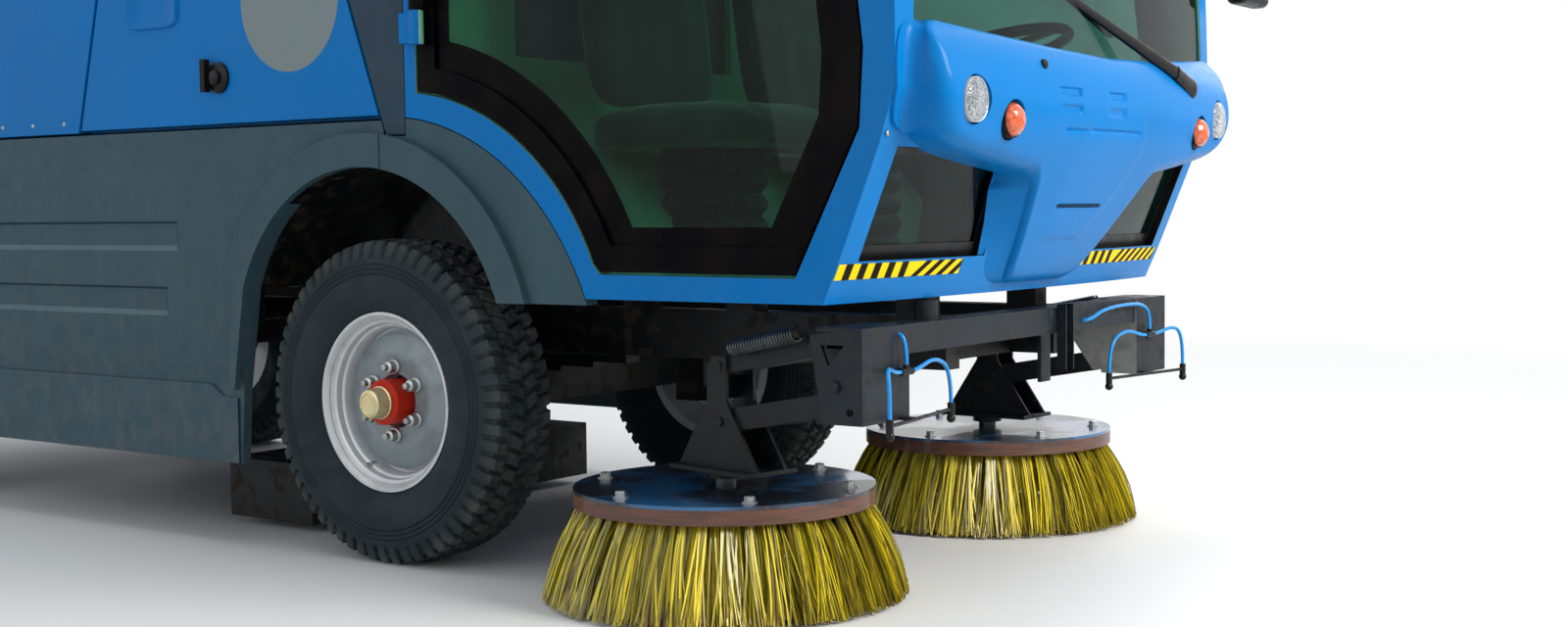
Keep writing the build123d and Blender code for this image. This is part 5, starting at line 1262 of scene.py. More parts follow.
    def bore(self, piece: bpy.types.Object) -> None:
        """Cut the four lamp holes with turned plugs.

        Args:
            piece: The moulding.
        """
        for y, z, radius in self.lamps:
            for sign in (-1, 1):
                spot = (AXLE_X + self.bore_start - float(sagitta(y)), sign * y, z)
                profile = [(0.0, POLE), (0.0, radius), (self.bore_length, radius), (self.bore_length, POLE)]
                tool = Skin("plug").turned(profile, spot, FORWARD).build("root", piece.data.materials[0])
                cut = piece.modifiers.new("lamp_hole", "BOOLEAN")
                cut.operation = "DIFFERENCE"
                cut.object = tool
                cut.solver = "EXACT"
                bpy.context.view_layer.objects.active = piece
                with bpy.context.temp_override(object=piece, active_object=piece, selected_objects=[piece]):
                    bpy.ops.object.modifier_apply(modifier=cut.name)
                bpy.data.objects.remove(tool)
        piece.data.set_sharp_from_angle(angle=math.radians(self.sharp))


@dataclass
class Dress:
    """Finish of a CAD node, with its edges eased on a merged copy where that is asked. A
    zone is a box with a finish of its own, and a lining dresses what faces a point."""

    node: str
    finish: Material
    slot: str
    edge: float = 0.0
    zones: tuple[tuple[Material, Point, Point], ...] = ()
    lining: tuple[Material, Point] | None = None
    flat_angle: float = 0.6
    edge_angle: float = 32.0

    def apply(self) -> None:
        """Dress the node itself, or a copy with rounded edges that stands for it."""
        node = frame["nodes"][self.node]
        if not self.edge and not self.zones:
            node.data.materials.clear()
            node.data.materials.append(self.finish)
            return
        mesh = self.merged(node.data)
        piece = place(f"Eased_{self.node}", mesh, node["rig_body"], self.finish, (self.node,))
        self.colour_zones(mesh)
        if self.edge:
            bevel = piece.modifiers.new("eased_edges", "BEVEL")
            bevel.width = self.edge
            bevel.segments = 2
            bevel.limit_method = "ANGLE"
            bevel.angle_limit = math.radians(self.edge_angle)
            bevel.harden_normals = True

    def merged(self, source: bpy.types.Mesh) -> bpy.types.Mesh:
        """Copy with its points merged and its flat faces whole.

        Args:
            source: The node's mesh.

        Returns:
            The copy.
        """
        mesh = source.copy()
        work = bmesh.new()
        work.from_mesh(mesh)
        bmesh.ops.remove_doubles(work, verts=work.verts, dist=1e-5)
        bmesh.ops.dissolve_limit(work, angle_limit=math.radians(self.flat_angle), verts=work.verts, edges=work.edges)
        bmesh.ops.recalc_face_normals(work, faces=work.faces)
        work.to_mesh(mesh)
        work.free()
        marks = mesh.attributes.get("custom_normal")
        if marks:
            mesh.attributes.remove(marks)
        mesh.shade_smooth()
        mesh.set_sharp_from_angle(angle=math.radians(self.edge_angle))
        return mesh

    def colour_zones(self, mesh: bpy.types.Mesh) -> None:
        """Give the faces inside each zone's box the zone's finish, and those that face the
        lining's middle the lining's.

        Args:
            mesh: The copy's mesh.
        """
        count = len(mesh.polygons)
        centres = np.empty(count * 3, np.float32)
        mesh.polygons.foreach_get("center", centres)
        centres = centres.reshape(-1, 3)
        index = np.zeros(count, np.int32)
        for number, (finish, low, high) in enumerate(self.zones, start=1):
            mesh.materials.append(finish)
            inside = np.all((centres >= low) & (centres <= high), axis=1)
            index[inside] = number
        if self.lining:
            finish, inside_point = self.lining
            mesh.materials.append(finish)
            normals = np.empty(count * 3, np.float32)
            mesh.polygons.foreach_get("normal", normals)
            facing = (normals.reshape(-1, 3) * (np.array(inside_point) - centres)).sum(axis=1)
            index[facing > 0.05] = len(self.zones) + 1
        mesh.polygons.foreach_set("material_index", index)


@dataclass
class Hoses:
    """Blue water hoses: two from each tee to its spray nozzles, and a feed to each tee.
    Routes are the part's own points, in metres ahead of the axle, beside the middle line
    towards the hose's own side, and above the ground, with the hose's real length."""

    diameter: float = 0.009
    outer: tuple[Point, ...] = ((1.418, 0.634, 0.527), (1.418, 0.656, 0.527), (1.442, 0.726, 0.545),
                                (1.456, 0.740, 0.508), (1.456, 0.740, 0.442))
    outer_length: float = 0.196
    inner: tuple[Point, ...] = ((1.418, 0.590, 0.527), (1.418, 0.570, 0.527), (1.410, 0.480, 0.548),
                                (1.402, 0.400, 0.515), (1.402, 0.400, 0.442))
    inner_length: float = 0.257
    short_feed: tuple[Point, ...] = ((1.400, 0.612, 0.603), (1.418, 0.612, 0.603), (1.418, 0.612, 0.541))
    short_length: float = 0.069
    long_feed: tuple[Point, ...] = ((1.396, 0.262, 0.583), (1.414, 0.262, 0.583), (1.412, 0.345, 0.606),
                                    (1.414, 0.480, 0.612), (1.416, 0.572, 0.608), (1.418, 0.612, 0.585),
                                    (1.418, 0.612, 0.541))
    long_length: float = 0.404

    def build(self, finish: Material) -> None:
        """Make each hose on its route's own points.

        Args:
            finish: Hose plastic.
        """
        feeds = {Side.RIGHT: (self.short_feed, self.short_length), Side.LEFT: (self.long_feed, self.long_length)}
        for side in Side:
            self.hose(f"Hose_outer_{side.word}", side, self.outer, self.outer_length, finish)
            self.hose(f"Hose_inner_{side.word}", side, self.inner, self.inner_length, finish)
        for side, (route, length) in feeds.items():
            self.hose(f"Hose_feed_{side.word}", side, route, length, finish)

    def hose(self, name: str, side: Side, points: Sequence[Point], length: float,
             finish: Material) -> None:
        """Make one hose as a smooth spline with the route's points as its control points.

        Args:
            name: Piece's name.
            side: Side of the vehicle.
            points: Points of the route.
            length: Hose's real length; not used.
            finish: Hose plastic.
        """
        route = [(AXLE_X + x, side.value * y, z) for x, y, z in points]
        curve = bpy.data.curves.new(name, "CURVE")
        curve.dimensions = "3D"
        curve.bevel_depth = self.diameter / 2
        curve.bevel_resolution = 4
        curve.resolution_u = 16
        curve.use_fill_caps = True
        spline = curve.splines.new("NURBS")
        spline.points.add(len(route) - 1)
        for point, spot in zip(spline.points, route):
            point.co = (*spot, 1.0)
        spline.order_u = 3
        spline.use_endpoint_u = True
        curve.materials.append(finish)
        piece = linked(name, curve)
        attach(piece, "root")
        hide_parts("spray_hoses")


@dataclass
class Lamps:
    """Headlamps, indicators and the roof beacon. The profiles give each radius as a share
    of the lamp's own."""

    head: Three = (0.631, 1.077, 0.0455)
    head_face: float = 1.594
    head_lens: Profile = ((-0.006, 0.0), (-0.006, 0.97), (0.002, 0.97), (0.006, 0.90), (0.010, 0.7),
                          (0.0125, 0.4), (0.0135, 0.0))
    head_bowl: Profile = ((-0.004, 0.96), (-0.014, 0.90), (-0.030, 0.68), (-0.040, 0.36), (-0.042, 0.16),
                          (-0.026, 0.13), (-0.024, 0.0))
    head_rim: Profile = ((-0.050, 1.0), (0.003, 1.0), (0.0045, 0.985), (0.0035, 0.95), (-0.003, 0.94), (-0.0500, 0.98))
    indicator: Three = (0.489, 1.041, 0.0378)
    indicator_face: float = 1.597
    indicator_rise: float = 0.0275
    indicator_ripple: float = 0.0005
    indicator_collar: Profile = ((-0.040, 1.0), (0.004, 1.0), (0.007, 0.985), (0.0065, 0.93), (0.000, 0.91),
                                 (-0.040, 0.91))
    beacon: tuple[float, float, float, float] = (0.420, 2.180, 0.062, 0.110)
    beacon_foot: Profile = ((0.0005, 0.0), (0.0005, 1.0), (0.020, 1.0), (0.024, 0.93), (0.026, 0.86), (0.026, 0.0))

    def build(self, finishes: Finishes) -> None:
        """Make the lamps of both sides, and the beacon.

        Args:
            finishes: The sweeper's finishes.
        """
        lens, bowls, rims = Skin("Headlamp_lenses"), Skin("Headlamp_bowls"), Skin("Headlamp_rims")
        domes, collars = Skin("Indicator_domes"), Skin("Indicator_collars")
        y, z, radius = self.head
        glass, bowl, ring = (sized(part, radius) for part in (self.head_lens, self.head_bowl, self.head_rim))
        for sign in (-1, 1):
            centre = (AXLE_X + self.head_face, sign * y, z)
            lens.turned(glass, centre, FORWARD)
            bowls.turned(bowl, centre, FORWARD)
            rims.turned(ring, centre, FORWARD, ring=True)
        y, z, radius = self.indicator
        turn = np.linspace(0, math.pi / 2, 14)
        rise = self.indicator_rise * np.sin(turn) + self.indicator_ripple * np.cos(turn * 40)
        dome = np.column_stack((rise, radius * 0.94 * np.cos(turn) ** 0.8 + POLE))
        dome = np.concatenate(([(-0.030, radius * 0.92), (0.0, radius * 0.92)], dome))
        collar = sized(self.indicator_collar, radius)
        for sign in (-1, 1):
            centre = (AXLE_X + self.indicator_face, sign * y, z)
            domes.turned(dome, centre, FORWARD)
            collars.turned(collar, centre, FORWARD, ring=True)
        lens.build("root", finishes.lens_clear, 30.0, "lamp_clear", ("headlamps",))
        bowls.build("root", finishes.reflector, 50.0)
        rims.build("root", finishes.silver, 35.0)
        collars.build("root", finishes.black, 35.0)
        domes.build("root", finishes.lens_amber, 30.0, "lamp_amber", ("amber_lamps",))
        self.roof_beacon(finishes)

    def roof_beacon(self, finishes: Finishes) -> None:
        """Make the beacon's foot, and its fluted shade with a round top.

        Args:
            finishes: The sweeper's finishes.
        """
        x, z, radius, height = self.beacon
        spot = (AXLE_X + x, 0.0, z)
        rows = np.linspace(0.026, height - 0.018, 26)
        shade = np.column_stack((rows, radius * (0.86 - 0.10 * (rows / height) ** 2) + 0.0009 * np.cos(rows * 900)))
        turn = np.linspace(0, math.pi / 2, 9)
        top = np.column_stack((height - 0.0175 + 0.017 * np.sin(turn), radius * 0.74 * np.cos(turn) + POLE))
        Skin("Beacon_foot").turned(sized(self.beacon_foot, radius), spot, UPWARD, 48).build(
            "root", finishes.black, 35.0)
        Skin("Beacon_dome").turned(np.concatenate((shade, top)), spot, UPWARD).build(
            "root", finishes.lens_amber, 40.0, "lamp_amber")


@dataclass
class Wiper:
    """Parked wiper: a cast head on the nose, a tapered arm and a blade on the glass."""

    pivot: Point = (1.604, 0.430, 1.146)
    knee: Point = (1.606, 0.330, 1.180)
    arm_end: Point = (1.520, -0.150, 1.350)
    blade_start: Point = (1.517, 0.150, 1.262)
    blade_end: Point = (1.510, -0.440, 1.455)

    def build(self, finish: Material) -> None:
        """Carry round and flat sections along the head, arm and blade.

        Args:
            finish: Trim black.
        """
        boss = ((-0.05, POLE), (-0.05, 0.024), (0.006, 0.024), (0.010, 0.020), (0.011, 0.010), (0.014, 0.009),
                (0.015, POLE))
        spot = (AXLE_X + self.pivot[0], *self.pivot[1:])
        skin = Skin("Wiper_arm").turned(boss, spot, FORWARD, 32)
        for part in (
            self.bar(self.pivot, self.knee, 12, (0.022, 0.014), (0.017, 0.012)),
            self.bar(self.knee, self.arm_end, 20, (0.0150, 0.010), (0.009, 0.006)),
            self.bar(self.blade_start, self.blade_end, 24, (0.0075, 0.008), (0.0075, 0.008)),
        ):
            skin.grid(part, wrap_columns=True)
        skin.build("root", finish, 35.0, "wiper_black", ("wiper",))

    def bar(self, start: Point, end: Point, rows: int, wide: Pair,
            narrow: Pair) -> np.ndarray:
        """Bar whose oval section shrinks from one end to the other.

        Args:
            start: Where it starts, ahead of the axle.
            end: Where it ends.
            rows: Sections along it.
            wide: Half height and half depth at the start.
            narrow: The same at the end.

        Returns:
            Grid of points with closed ends.
        """
        share = np.linspace(0, 1, rows)[:, None]
        first, last = np.array(start), np.array(end)
        line = first + (last - first) * share
        line[:, 0] += AXLE_X
        along = (last - first) / np.linalg.norm(last - first)
        ahead = np.array((1.0, 0.0, 0.0)) - along * along[0]
        ahead /= np.linalg.norm(ahead)
        across = np.cross(along, ahead)
        turn = np.arange(16) * 2 * math.pi / 16
        size = np.array(wide) + (np.array(narrow) - np.array(wide)) * share
        rings = []
        for column, direction, part in ((0, across, np.cos(turn)), (1, ahead, np.sin(turn))):
            soft = np.sign(part) * np.abs(part) ** 0.6
            rings.append(direction * (size[:, column, None] * soft)[..., None])
        return capped(line[:, None] + rings[0] + rings[1])


@dataclass
class DoorMasks:
    """Black border printed on both door panes, from under the frame inwards."""

    outer_border: float = 0.052
    inner_border: float = 0.098
    arc_border: float = 0.125
    pane_y: float = 0.7777
    thickness: float = 0.0006
    arc_centre: Pair = (0.119, 0.490)
    arc_radius: float = 0.662
    corners: Profile = (
        (0.740, 0.729), (1.259, 0.728), (1.414, 1.024), (1.424, 1.180), (1.327, 1.990), (0.192, 1.990), (0.192, 1.148),
    )

    def inset(self, border: float, arc_border: float) -> np.ndarray:
        """Door's outline drawn in: each straight edge moves inwards by the border, edges
        meet again where their lines cross, and the arc's radius grows.

        Args:
            border: Distance from the straight edges.
            arc_border: Distance from the arc.

        Returns:
            Points in X and Z.
        """
        corner = np.array(self.corners)
        along = np.diff(corner, axis=0)
        along /= np.linalg.norm(along, axis=1, keepdims=True)
        start = corner[:-1] + np.column_stack((-along[:, 1], along[:, 0])) * border
        turn = along[:-1, 0] * along[1:, 1] - along[:-1, 1] * along[1:, 0]
        gap = start[1:] - start[:-1]
        step = (gap[:, 0] * along[1:, 1] - gap[:, 1] * along[1:, 0]) / turn
        crossing = start[:-1] + along[:-1] * step[:, None]
        radius = self.arc_radius + arc_border
        centre = np.array(self.arc_centre)
        low = math.asin((self.corners[0][1] + border - centre[1]) / radius)
        high = math.acos((self.corners[-1][0] + border - centre[0]) / radius)
        angle = np.linspace(high, low, 24)
        arc = centre + radius * np.column_stack((np.cos(angle), np.sin(angle)))
        return np.concatenate((crossing, arc))

    def build(self, finish: Material) -> None:
        """Lay a ring between two insets on each door's pane.

        Args:
            finish: Door black.
        """
        rings = np.stack((self.inset(self.outer_border, self.outer_border),
                          self.inset(self.inner_border, self.arc_border)))
        for side in Side:
            front, back = (from_axle(rings[..., 0], side.value * y, rings[..., 1])
                           for y in (self.pane_y, self.pane_y - self.thickness))
            Skin(f"Door_mask_{side.word}").grid(
                np.concatenate((front, back[::-1])), wrap_rows=True, wrap_columns=True
            ).build(f"cab_door_{side.word}", finish, 30.0)


@dataclass
class CornerSeals:
    """Black rubber round both lower corner windows: it lines the opening and lies on the
    pane, widest along the bottom."""

    corners: Profile = ((0.7255, 0.7565), (0.7255, 0.9845), (0.2965, 0.9845), (0.2625, 0.7565))
    lip: Profile = ((0.711, 0.788), (0.711, 0.970), (0.313, 0.970), (0.284, 0.788))
    depth: float = 0.0225
    edge_points: int = 14

    def outline(self, corners: Profile) -> np.ndarray:
        """Points along a closed outline, evenly spaced on each edge."""
        loop = np.array(corners + corners[:1])
        share = np.linspace(0, 1, self.edge_points, endpoint=False)[:, None]
        return np.concatenate([first + (last - first) * share for first, last in zip(loop[:-1], loop[1:])])

    def build(self, finish: Material) -> None:
        """Carry the opening's outline back to the pane, then in over it.

        Args:
            finish: Trim black.
        """
        skin = Skin("Corner_window_seals")
        opening, lip = self.outline(self.corners), self.outline(self.lip)
        for side in Side:
            rows = []
            for spots, back in ((opening, 0.001), (opening, self.depth), (lip, self.depth), (lip, self.depth + 0.001),
                                (opening, self.depth + 0.001)):
                y, z = spots.T
                rows.append(from_axle(cab_front(y, z) - back, side.value * y, z))
            skin.grid(np.stack(rows), wrap_columns=True)
        skin.build("root", finish, 30.0)


@dataclass
class NoseTrim:
    """Small parts on the nose: a black strip as painted shade in the vent slit, the washer jet and the pods' rivets."""

    slit_y: Pair = (-0.144, 0.072)
    slit_z: float = 0.864
    slit_half: float = 0.0026
    jet: Point = (1.603, -0.352, 1.161)
    rivet_y: float = 0.7725
    rivet_zs: tuple[float, ...] = (1.010, 1.090, 1.192)
    rivet_lift: float = 0.003

    def build(self, finishes: Finishes, nose: Nose) -> None:
        """Lay the black strip of painted shade in the slit on the moulding's own surface, and set the jet and the
        rivets.

        Args:
            finishes: The sweeper's finishes.
            nose: The moulding, for its surface.
        """
        across = np.linspace(*self.slit_y, 30)[None]
        height = self.slit_z + self.slit_half * np.array([-1.0, -0.4, 0.4, 1.0])[:, None]
        lift = np.array([-0.004, 0.0007, 0.0007, -0.004])[:, None]
        above = np.full((len(height), across.size), self.slit_z + 0.012)
        surface = nose.reach(np.broadcast_to(across, above.shape), above)
        # A black strip sunk in the slot: painted shade for the vent's gap.
        Skin("Nose_slit").grid(from_axle(surface + lift - 0.006, across, height)).build("root", finishes.black, 30.0)
        jet = ((-0.012, POLE), (-0.012, 0.011), (0.003, 0.011), (0.006, 0.008), (0.007, POLE))
        spot = (AXLE_X + self.jet[0], *self.jet[1:])
        Skin("Washer_jet").turned(jet, spot, FORWARD, 24).build("root", finishes.black, 35.0)
        rivets = Skin("Nose_rivets")
        for side in Side:
            for z in self.rivet_zs:
                x = float(cab_front(self.rivet_y, z)) + self.rivet_lift
                rivets.turned(rivet_profile(), (AXLE_X + x, side.value * self.rivet_y, z), FORWARD, 14)
        rivets.build("root", finishes.steel, 50.0)


@dataclass
class Channel:
    """Upright folded channel that stands before the crossbeam: its section, a U open to
    the front, is carried up."""

    y: Pair = (0.120, 0.163)
    z: Pair = (0.472, 0.629)
    back: float = 1.3965
    depth: float = 0.024
    wall: float = 0.004

    def build(self, finish: Material) -> None:
        """Carry the section from the bottom to the top and close the ends.

        Args:
            finish: Beam paint.
        """
        near, far = self.y
        front, inside = self.back + self.depth, self.back + self.wall
        section = np.array([(self.back, near), (front, near), (front, near + self.wall), (inside, near + self.wall),
                            (inside, far - self.wall), (front, far - self.wall), (front, far), (self.back, far)])
        x, y = section.T
        skin = Skin("Beam_channel").grid(np.stack([from_axle(x, y, z) for z in self.z]), wrap_columns=True)
        for z in self.z:
            skin.grid(np.stack([from_axle(x[end], y[end], z) for end in ([0, 1, 2, 3], [7, 6, 5, 4])]))
        skin.build("root", finish, 20.0)


@dataclass
class SkirtTrim:
    """Sheet parts on the lower side panels: chamfered frames in the rib recesses, with dark
    slate on their upper and front walls as painted shade and lighter slate on their lower walls
    as painted highlight, and the plate under the step, whose upper edge drops at the wheel arch."""

    panel_y: float = 0.787
    rib_floor: float = 0.7785
    ribs: tuple[Three, ...] = ((0.847, 0.769, -0.717), (0.673, 0.596, -0.767))
    rib_rear: float = -1.672
    chamfer: float = 0.010
    plate_y: Pair = (0.7725, 0.7795)
    plate_z: Pair = (0.2185, 0.4200)
    plate_x: Pair = (-1.735, -0.500)
    drop: float = 0.032

    def build(self, finishes: Finishes) -> None:
        """Lay the frames and the plates on both panels.

        Args:
            finishes: The sweeper's finishes.
        """
        shades, frames, plates = Skin("Rib_shades"), Skin("Rib_frames"), Skin("Skirt_plates")
        for side in Side:
            for high, low, front in self.ribs:
                rear = self.rib_rear
                for skin, start, end, inward in (
                    (shades, (rear, high), (front, high), (0.0, -0.6 * self.chamfer)),
                    (shades, (front, high), (front, low), (-0.5 * self.chamfer, 0.0)),
                    (frames, (rear, low), (front, low), (0.0, 1.4 * self.chamfer)),
                ):
                    skin.grid(self.chamfered(side, start, end, inward), wrap_rows=True)
            x = np.linspace(*self.plate_x, 60)
            bottom, top = self.plate_z
            edge = top - self.drop * smooth_step(x, -0.61, -0.55)
            inner, outer = self.plate_y
            rows = ((inner, edge), (outer - 0.002, edge), (outer, edge - 0.003), (outer, bottom), (inner, bottom))
            plates.grid(np.stack([from_axle(x, side.value * y, z) for y, z in rows]))
        # The upper and front walls take the dark column slate as painted shade.
        shades.build("root", finishes.column, 30.0)
        # The lower walls take the lighter slate as painted highlight.
        frames.build("root", finishes.rib_edge, 30.0)
        plates.build("root", finishes.moulded, 30.0)

    def chamfered(self, side: Side, start: Pair, end: Pair,
                  inward: Pair) -> np.ndarray:
        """Strip that falls from a recess's edge to its floor.

        Args:
            side: Which panel.
            start: Edge's start in X and Z.
            end: Its end.
            inward: Way from the edge into the recess, in X and Z.

        Returns:
            Three rows of points, a wedge's edges.
        """
        edge = np.linspace(start, end, 12)
        rows = ((self.panel_y + 0.0006, edge), (self.rib_floor, edge + inward), (self.rib_floor - 0.001, edge))
        return np.stack([from_axle(spots[:, 0], side.value * y, spots[:, 1]) for y, spots in rows])


@dataclass
class DoorTrim:
    """Lock rosette and cup-shaped pull on each service door."""

    panel_y: float = 0.7872
    lock: Pair = (-0.528, 1.214)
    rosette: Profile = (
        (0.0000, 0.0400), (0.0070, 0.0400), (0.0110, 0.0350), (0.0120, 0.0200), (0.0200, 0.0190), (0.0220, 0.0150),
        (0.0220, POLE),
    )
    pull: Pair = (-0.795, 1.432)
    pull_half: Pair = (0.108, 0.078)
    rows: Profile = (
        (1.00, 0.0000), (0.985, 0.0060), (0.96, 0.0085), (0.925, 0.0085), (0.90, 0.0060), (0.80, 0.0016),
        (0.40, 0.0010), (0.01, 0.0010),
    )

    def build(self, finishes: Finishes) -> None:
        """Turn the rosettes, and raise the pulls' beads round their flat floors.

        Args:
            finishes: The sweeper's finishes.
        """
        turn = np.linspace(0, 2 * math.pi, 64, endpoint=False)
        across, up = (np.sign(part) * np.abs(part) ** 0.35 for part in (np.cos(turn), np.sin(turn)))
        for side in Side:
            body = f"service_{side.word}"
            spot = (AXLE_X + self.lock[0], side.value * self.panel_y, self.lock[1])
            Skin(f"Lock_rosette_{side.word}").turned(self.rosette, spot, (0, side.value, 0), 32).build(
                body, finishes.black, 35.0)
            (x, z), (long, high) = self.pull, self.pull_half
            Skin(f"Door_pull_{side.word}").grid(np.stack([
                from_axle(x + long * share * across, side.value * (self.panel_y + proud), z + high * share * up)
                for share, proud in self.rows]), wrap_columns=True).build(body, finishes.body)


@dataclass
class SillTape:
    """Yellow tape with black bars on the cab's sill, upright bars on its first part and
    slanted ones on the rest."""

    inner: Pair = (0.346, 0.242)
    outer: Pair = (0.783, 0.756)
    low: float = 0.7195
    high: float = 0.7515
    lift: float = 0.0009
    bar: float = 0.0225
    pitch: float = 0.0465
    upright_share: Pair = (0.50, 0.38)
    slant: float = 0.040

    def surface(self, y: np.ndarray, z: np.ndarray, lift: float) -> np.ndarray:
        """Points just ahead of the cab's sill.

        Args:
            y: Places across.
            z: Heights.
            lift: How far ahead.

        Returns:
            Points in the frame.
        """
        return from_axle(cab_front(y, z) + lift, y, z)

    def build(self, finishes: Finishes) -> None:
        """Lay the yellow sheet and the bars on both sides of the keel.

        Args:
            finishes: The sweeper's finishes.
        """
        sheet, bars = Skin("Sill_tape"), Skin("Sill_tape_bars")
        height = np.linspace(self.low, self.high, 3)[:, None]
        for side, inner, outer, upright in zip(Side, self.inner, self.outer, self.upright_share):
            first, last = sorted((side.value * inner, side.value * outer))
            across = np.linspace(first, last, 60)[None]
            sheet.grid(self.surface(across, height, self.lift))
            turn = first + (last - first) * upright
            for start in np.arange(first + self.pitch * 0.5, last - self.bar, self.pitch):
                lean = self.slant if start > turn else 0.0
                share = (height - self.low) / (self.high - self.low)
                spots = start + np.array([[0.0, self.bar]]) + lean * share
                bars.grid(self.surface(np.clip(spots, first, last), height, self.lift + 0.0006))
        sheet.build("root", finishes.tape_yellow)
        bars.build("root", finishes.tape_black)


@dataclass
class Seats:
    """Two sprung seats with padded cushions."""

    middle_y: float = 0.310
    half_width: float = 0.228
    cushion_x: Pair = (0.480, 0.950)
    cushion_z: Pair = (1.010, 1.120)
    back_foot: Pair = (0.525, 1.110)
    back_head: Pair = (0.440, 1.755)
    back_depth: float = 0.105
    post: Three = (0.700, 0.735, 1.014)
    post_half: float = 0.085
    fold_depth: float = 0.012
    folds: int = 5
    head_taper: float = 0.16

    def build(self, finishes: Finishes) -> None:
        """Make both seats.

        Args:
            finishes: The sweeper's finishes.
        """
        for side in Side:
            y = side.value * self.middle_y
            base = Skin(f"Cushion_{side.word}").grid(self.cushion(y), wrap_columns=True).build(
                "root", finishes.cloth, 60.0, "seat_cloth", ("seats",))
            rest = Skin(f"Backrest_{side.word}").grid(self.backrest(y), wrap_columns=True).build(
                "root", finishes.cloth, 60.0, "seat_cloth")
            Skin(f"Seat_post_{side.word}").grid(self.bellows(y), wrap_columns=True).build("root", finishes.black)

    def pillow(self, long: np.ndarray, wide: np.ndarray, seams: tuple[float, ...]) -> np.ndarray:
        """Swelling of a stuffed panel: it rises from its edges, and seams pull it in.

        Args:
            long: Place along, from -1 to 1.
            wide: Place across, from -1 to 1.
            seams: Places across where a seam runs.

        Returns:
            Share of the full height.
        """
        swell = (1 - long ** 4) ** 0.5 * (1 - wide ** 4) ** 0.5
        pinch = sum(np.exp(-((wide - seam) / 0.045) ** 2) for seam in seams)
        pinch = pinch + np.exp(-((long + 0.45) / 0.035) ** 2) * 0.6
        wrinkle = 0.02 * np.sin(9 * long + 4 * wide) * (1 - wide ** 2)
        return swell * (1 - 0.28 * pinch) + wrinkle * swell

    def panel(self) -> np.ndarray:
        """Unit block with soft edges: its places along, across and through, from -1 to 1."""
        return np.moveaxis(rounded_block((-1, -1, -1), (1, 1, 1), 7.0, 64), -1, 0)

    def cushion(self, y: float) -> np.ndarray:
        """Seat squab with bolsters and a rounded front."""
        long, wide, through = self.panel()
        near, far = self.cushion_x
        low, high = self.cushion_z
        x = (near + far) / 2 + long * (far - near) / 2
        top = (high - low) * (0.42 + 0.56 * self.pillow(long, wide, (-0.62, 0.62)))
        bolster = 0.012 * np.abs(wide) ** 3
        z = low + np.where(through > 0, (through * 0.5 + 0.5) * (top + bolster), (through * 0.5 + 0.5) * 0.06)
        return from_axle(x, y + wide * self.half_width, np.minimum(z, high))

    def backrest(self, y: float) -> np.ndarray:
        """Backrest that leans back and narrows to a head pad."""
        long, wide, through = self.panel()
        foot, head = np.array(self.back_foot), np.array(self.back_head)
        share = long * 0.5 + 0.5
        line = foot + (head - foot) * share[..., None]
        swell = self.pillow(long * 0.96, wide * 0.96, (-0.6, 0.6))
        depth = self.back_depth / 2 * np.where(through > 0, 0.35 + 0.65 * swell, 0.6)
        taper = 1 - self.head_taper * smooth_step(share, 0.55, 0.95)
        return from_axle(line[..., 0] + through * depth, y + wide * self.half_width * 0.97 * taper, line[..., 1])

    def bellows(self, y: float) -> np.ndarray:
        """Folded rubber skirt under the squab: a rounded square whose size ripples."""
        x, low, high = self.post
        height = np.linspace(low, high, 41)[:, None]
        turn = np.linspace(0, 2 * math.pi, 40, endpoint=False)[None]
        size = self.post_half + self.fold_depth * np.abs(np.sin((height - low) / (high - low) * math.pi * self.folds))
        shape = 1 / (np.abs(np.cos(turn)) ** 6 + np.abs(np.sin(turn)) ** 6) ** (1 / 6)
        return from_axle(x + size * shape * np.cos(turn), y + size * 1.2 * shape * np.sin(turn), height)


@dataclass
class MirrorFaces:
    """Reflecting faces on the rear of both mirror heads."""

    back_x: float = 1.4995
    across: Pair = (0.930, 1.085)
    height: Pair = (1.418, 1.742)
    depth: Pair = (-0.003, 0.006)

    def build(self, finish: Material) -> None:
        """Make a thin soft-cornered pane behind each head.

        Args:
            finish: Mirror face.
        """
        skin = Skin("Mirror_faces")
        inner, outer = self.across
        for side in Side:
            low, high = sorted((side.value * inner, side.value * outer))
            corners = zip(self.depth, (low, high), self.height)
            near, far = ((AXLE_X + self.back_x + depth, y, z) for depth, y, z in corners)
            skin.grid(rounded_block(near, far, 9.0, 40), wrap_columns=True)
        skin.build("root", finish, 50.0)


@dataclass
class Rivets:
    """Small domed rivets along the lower seam of the hopper."""

    seam: Three = (-2.98, -1.20, 1.118)
    seam_y: float = 0.787
    seam_pitch: float = 0.148

    def build(self, finish: Material) -> None:
        """Set the rivets of both sides.

        Args:
            finish: Metal of the rivets.
        """
        skin = Skin("Seam_rivets")
        first, last, z = self.seam
        for side in Side:
            for x in np.arange(first, last, self.seam_pitch):
                spot = (AXLE_X + float(x), side.value * self.seam_y, z)
                skin.turned(rivet_profile(), spot, (0, side.value, 0), 14)
        skin.build("hopper", finish, 50.0)


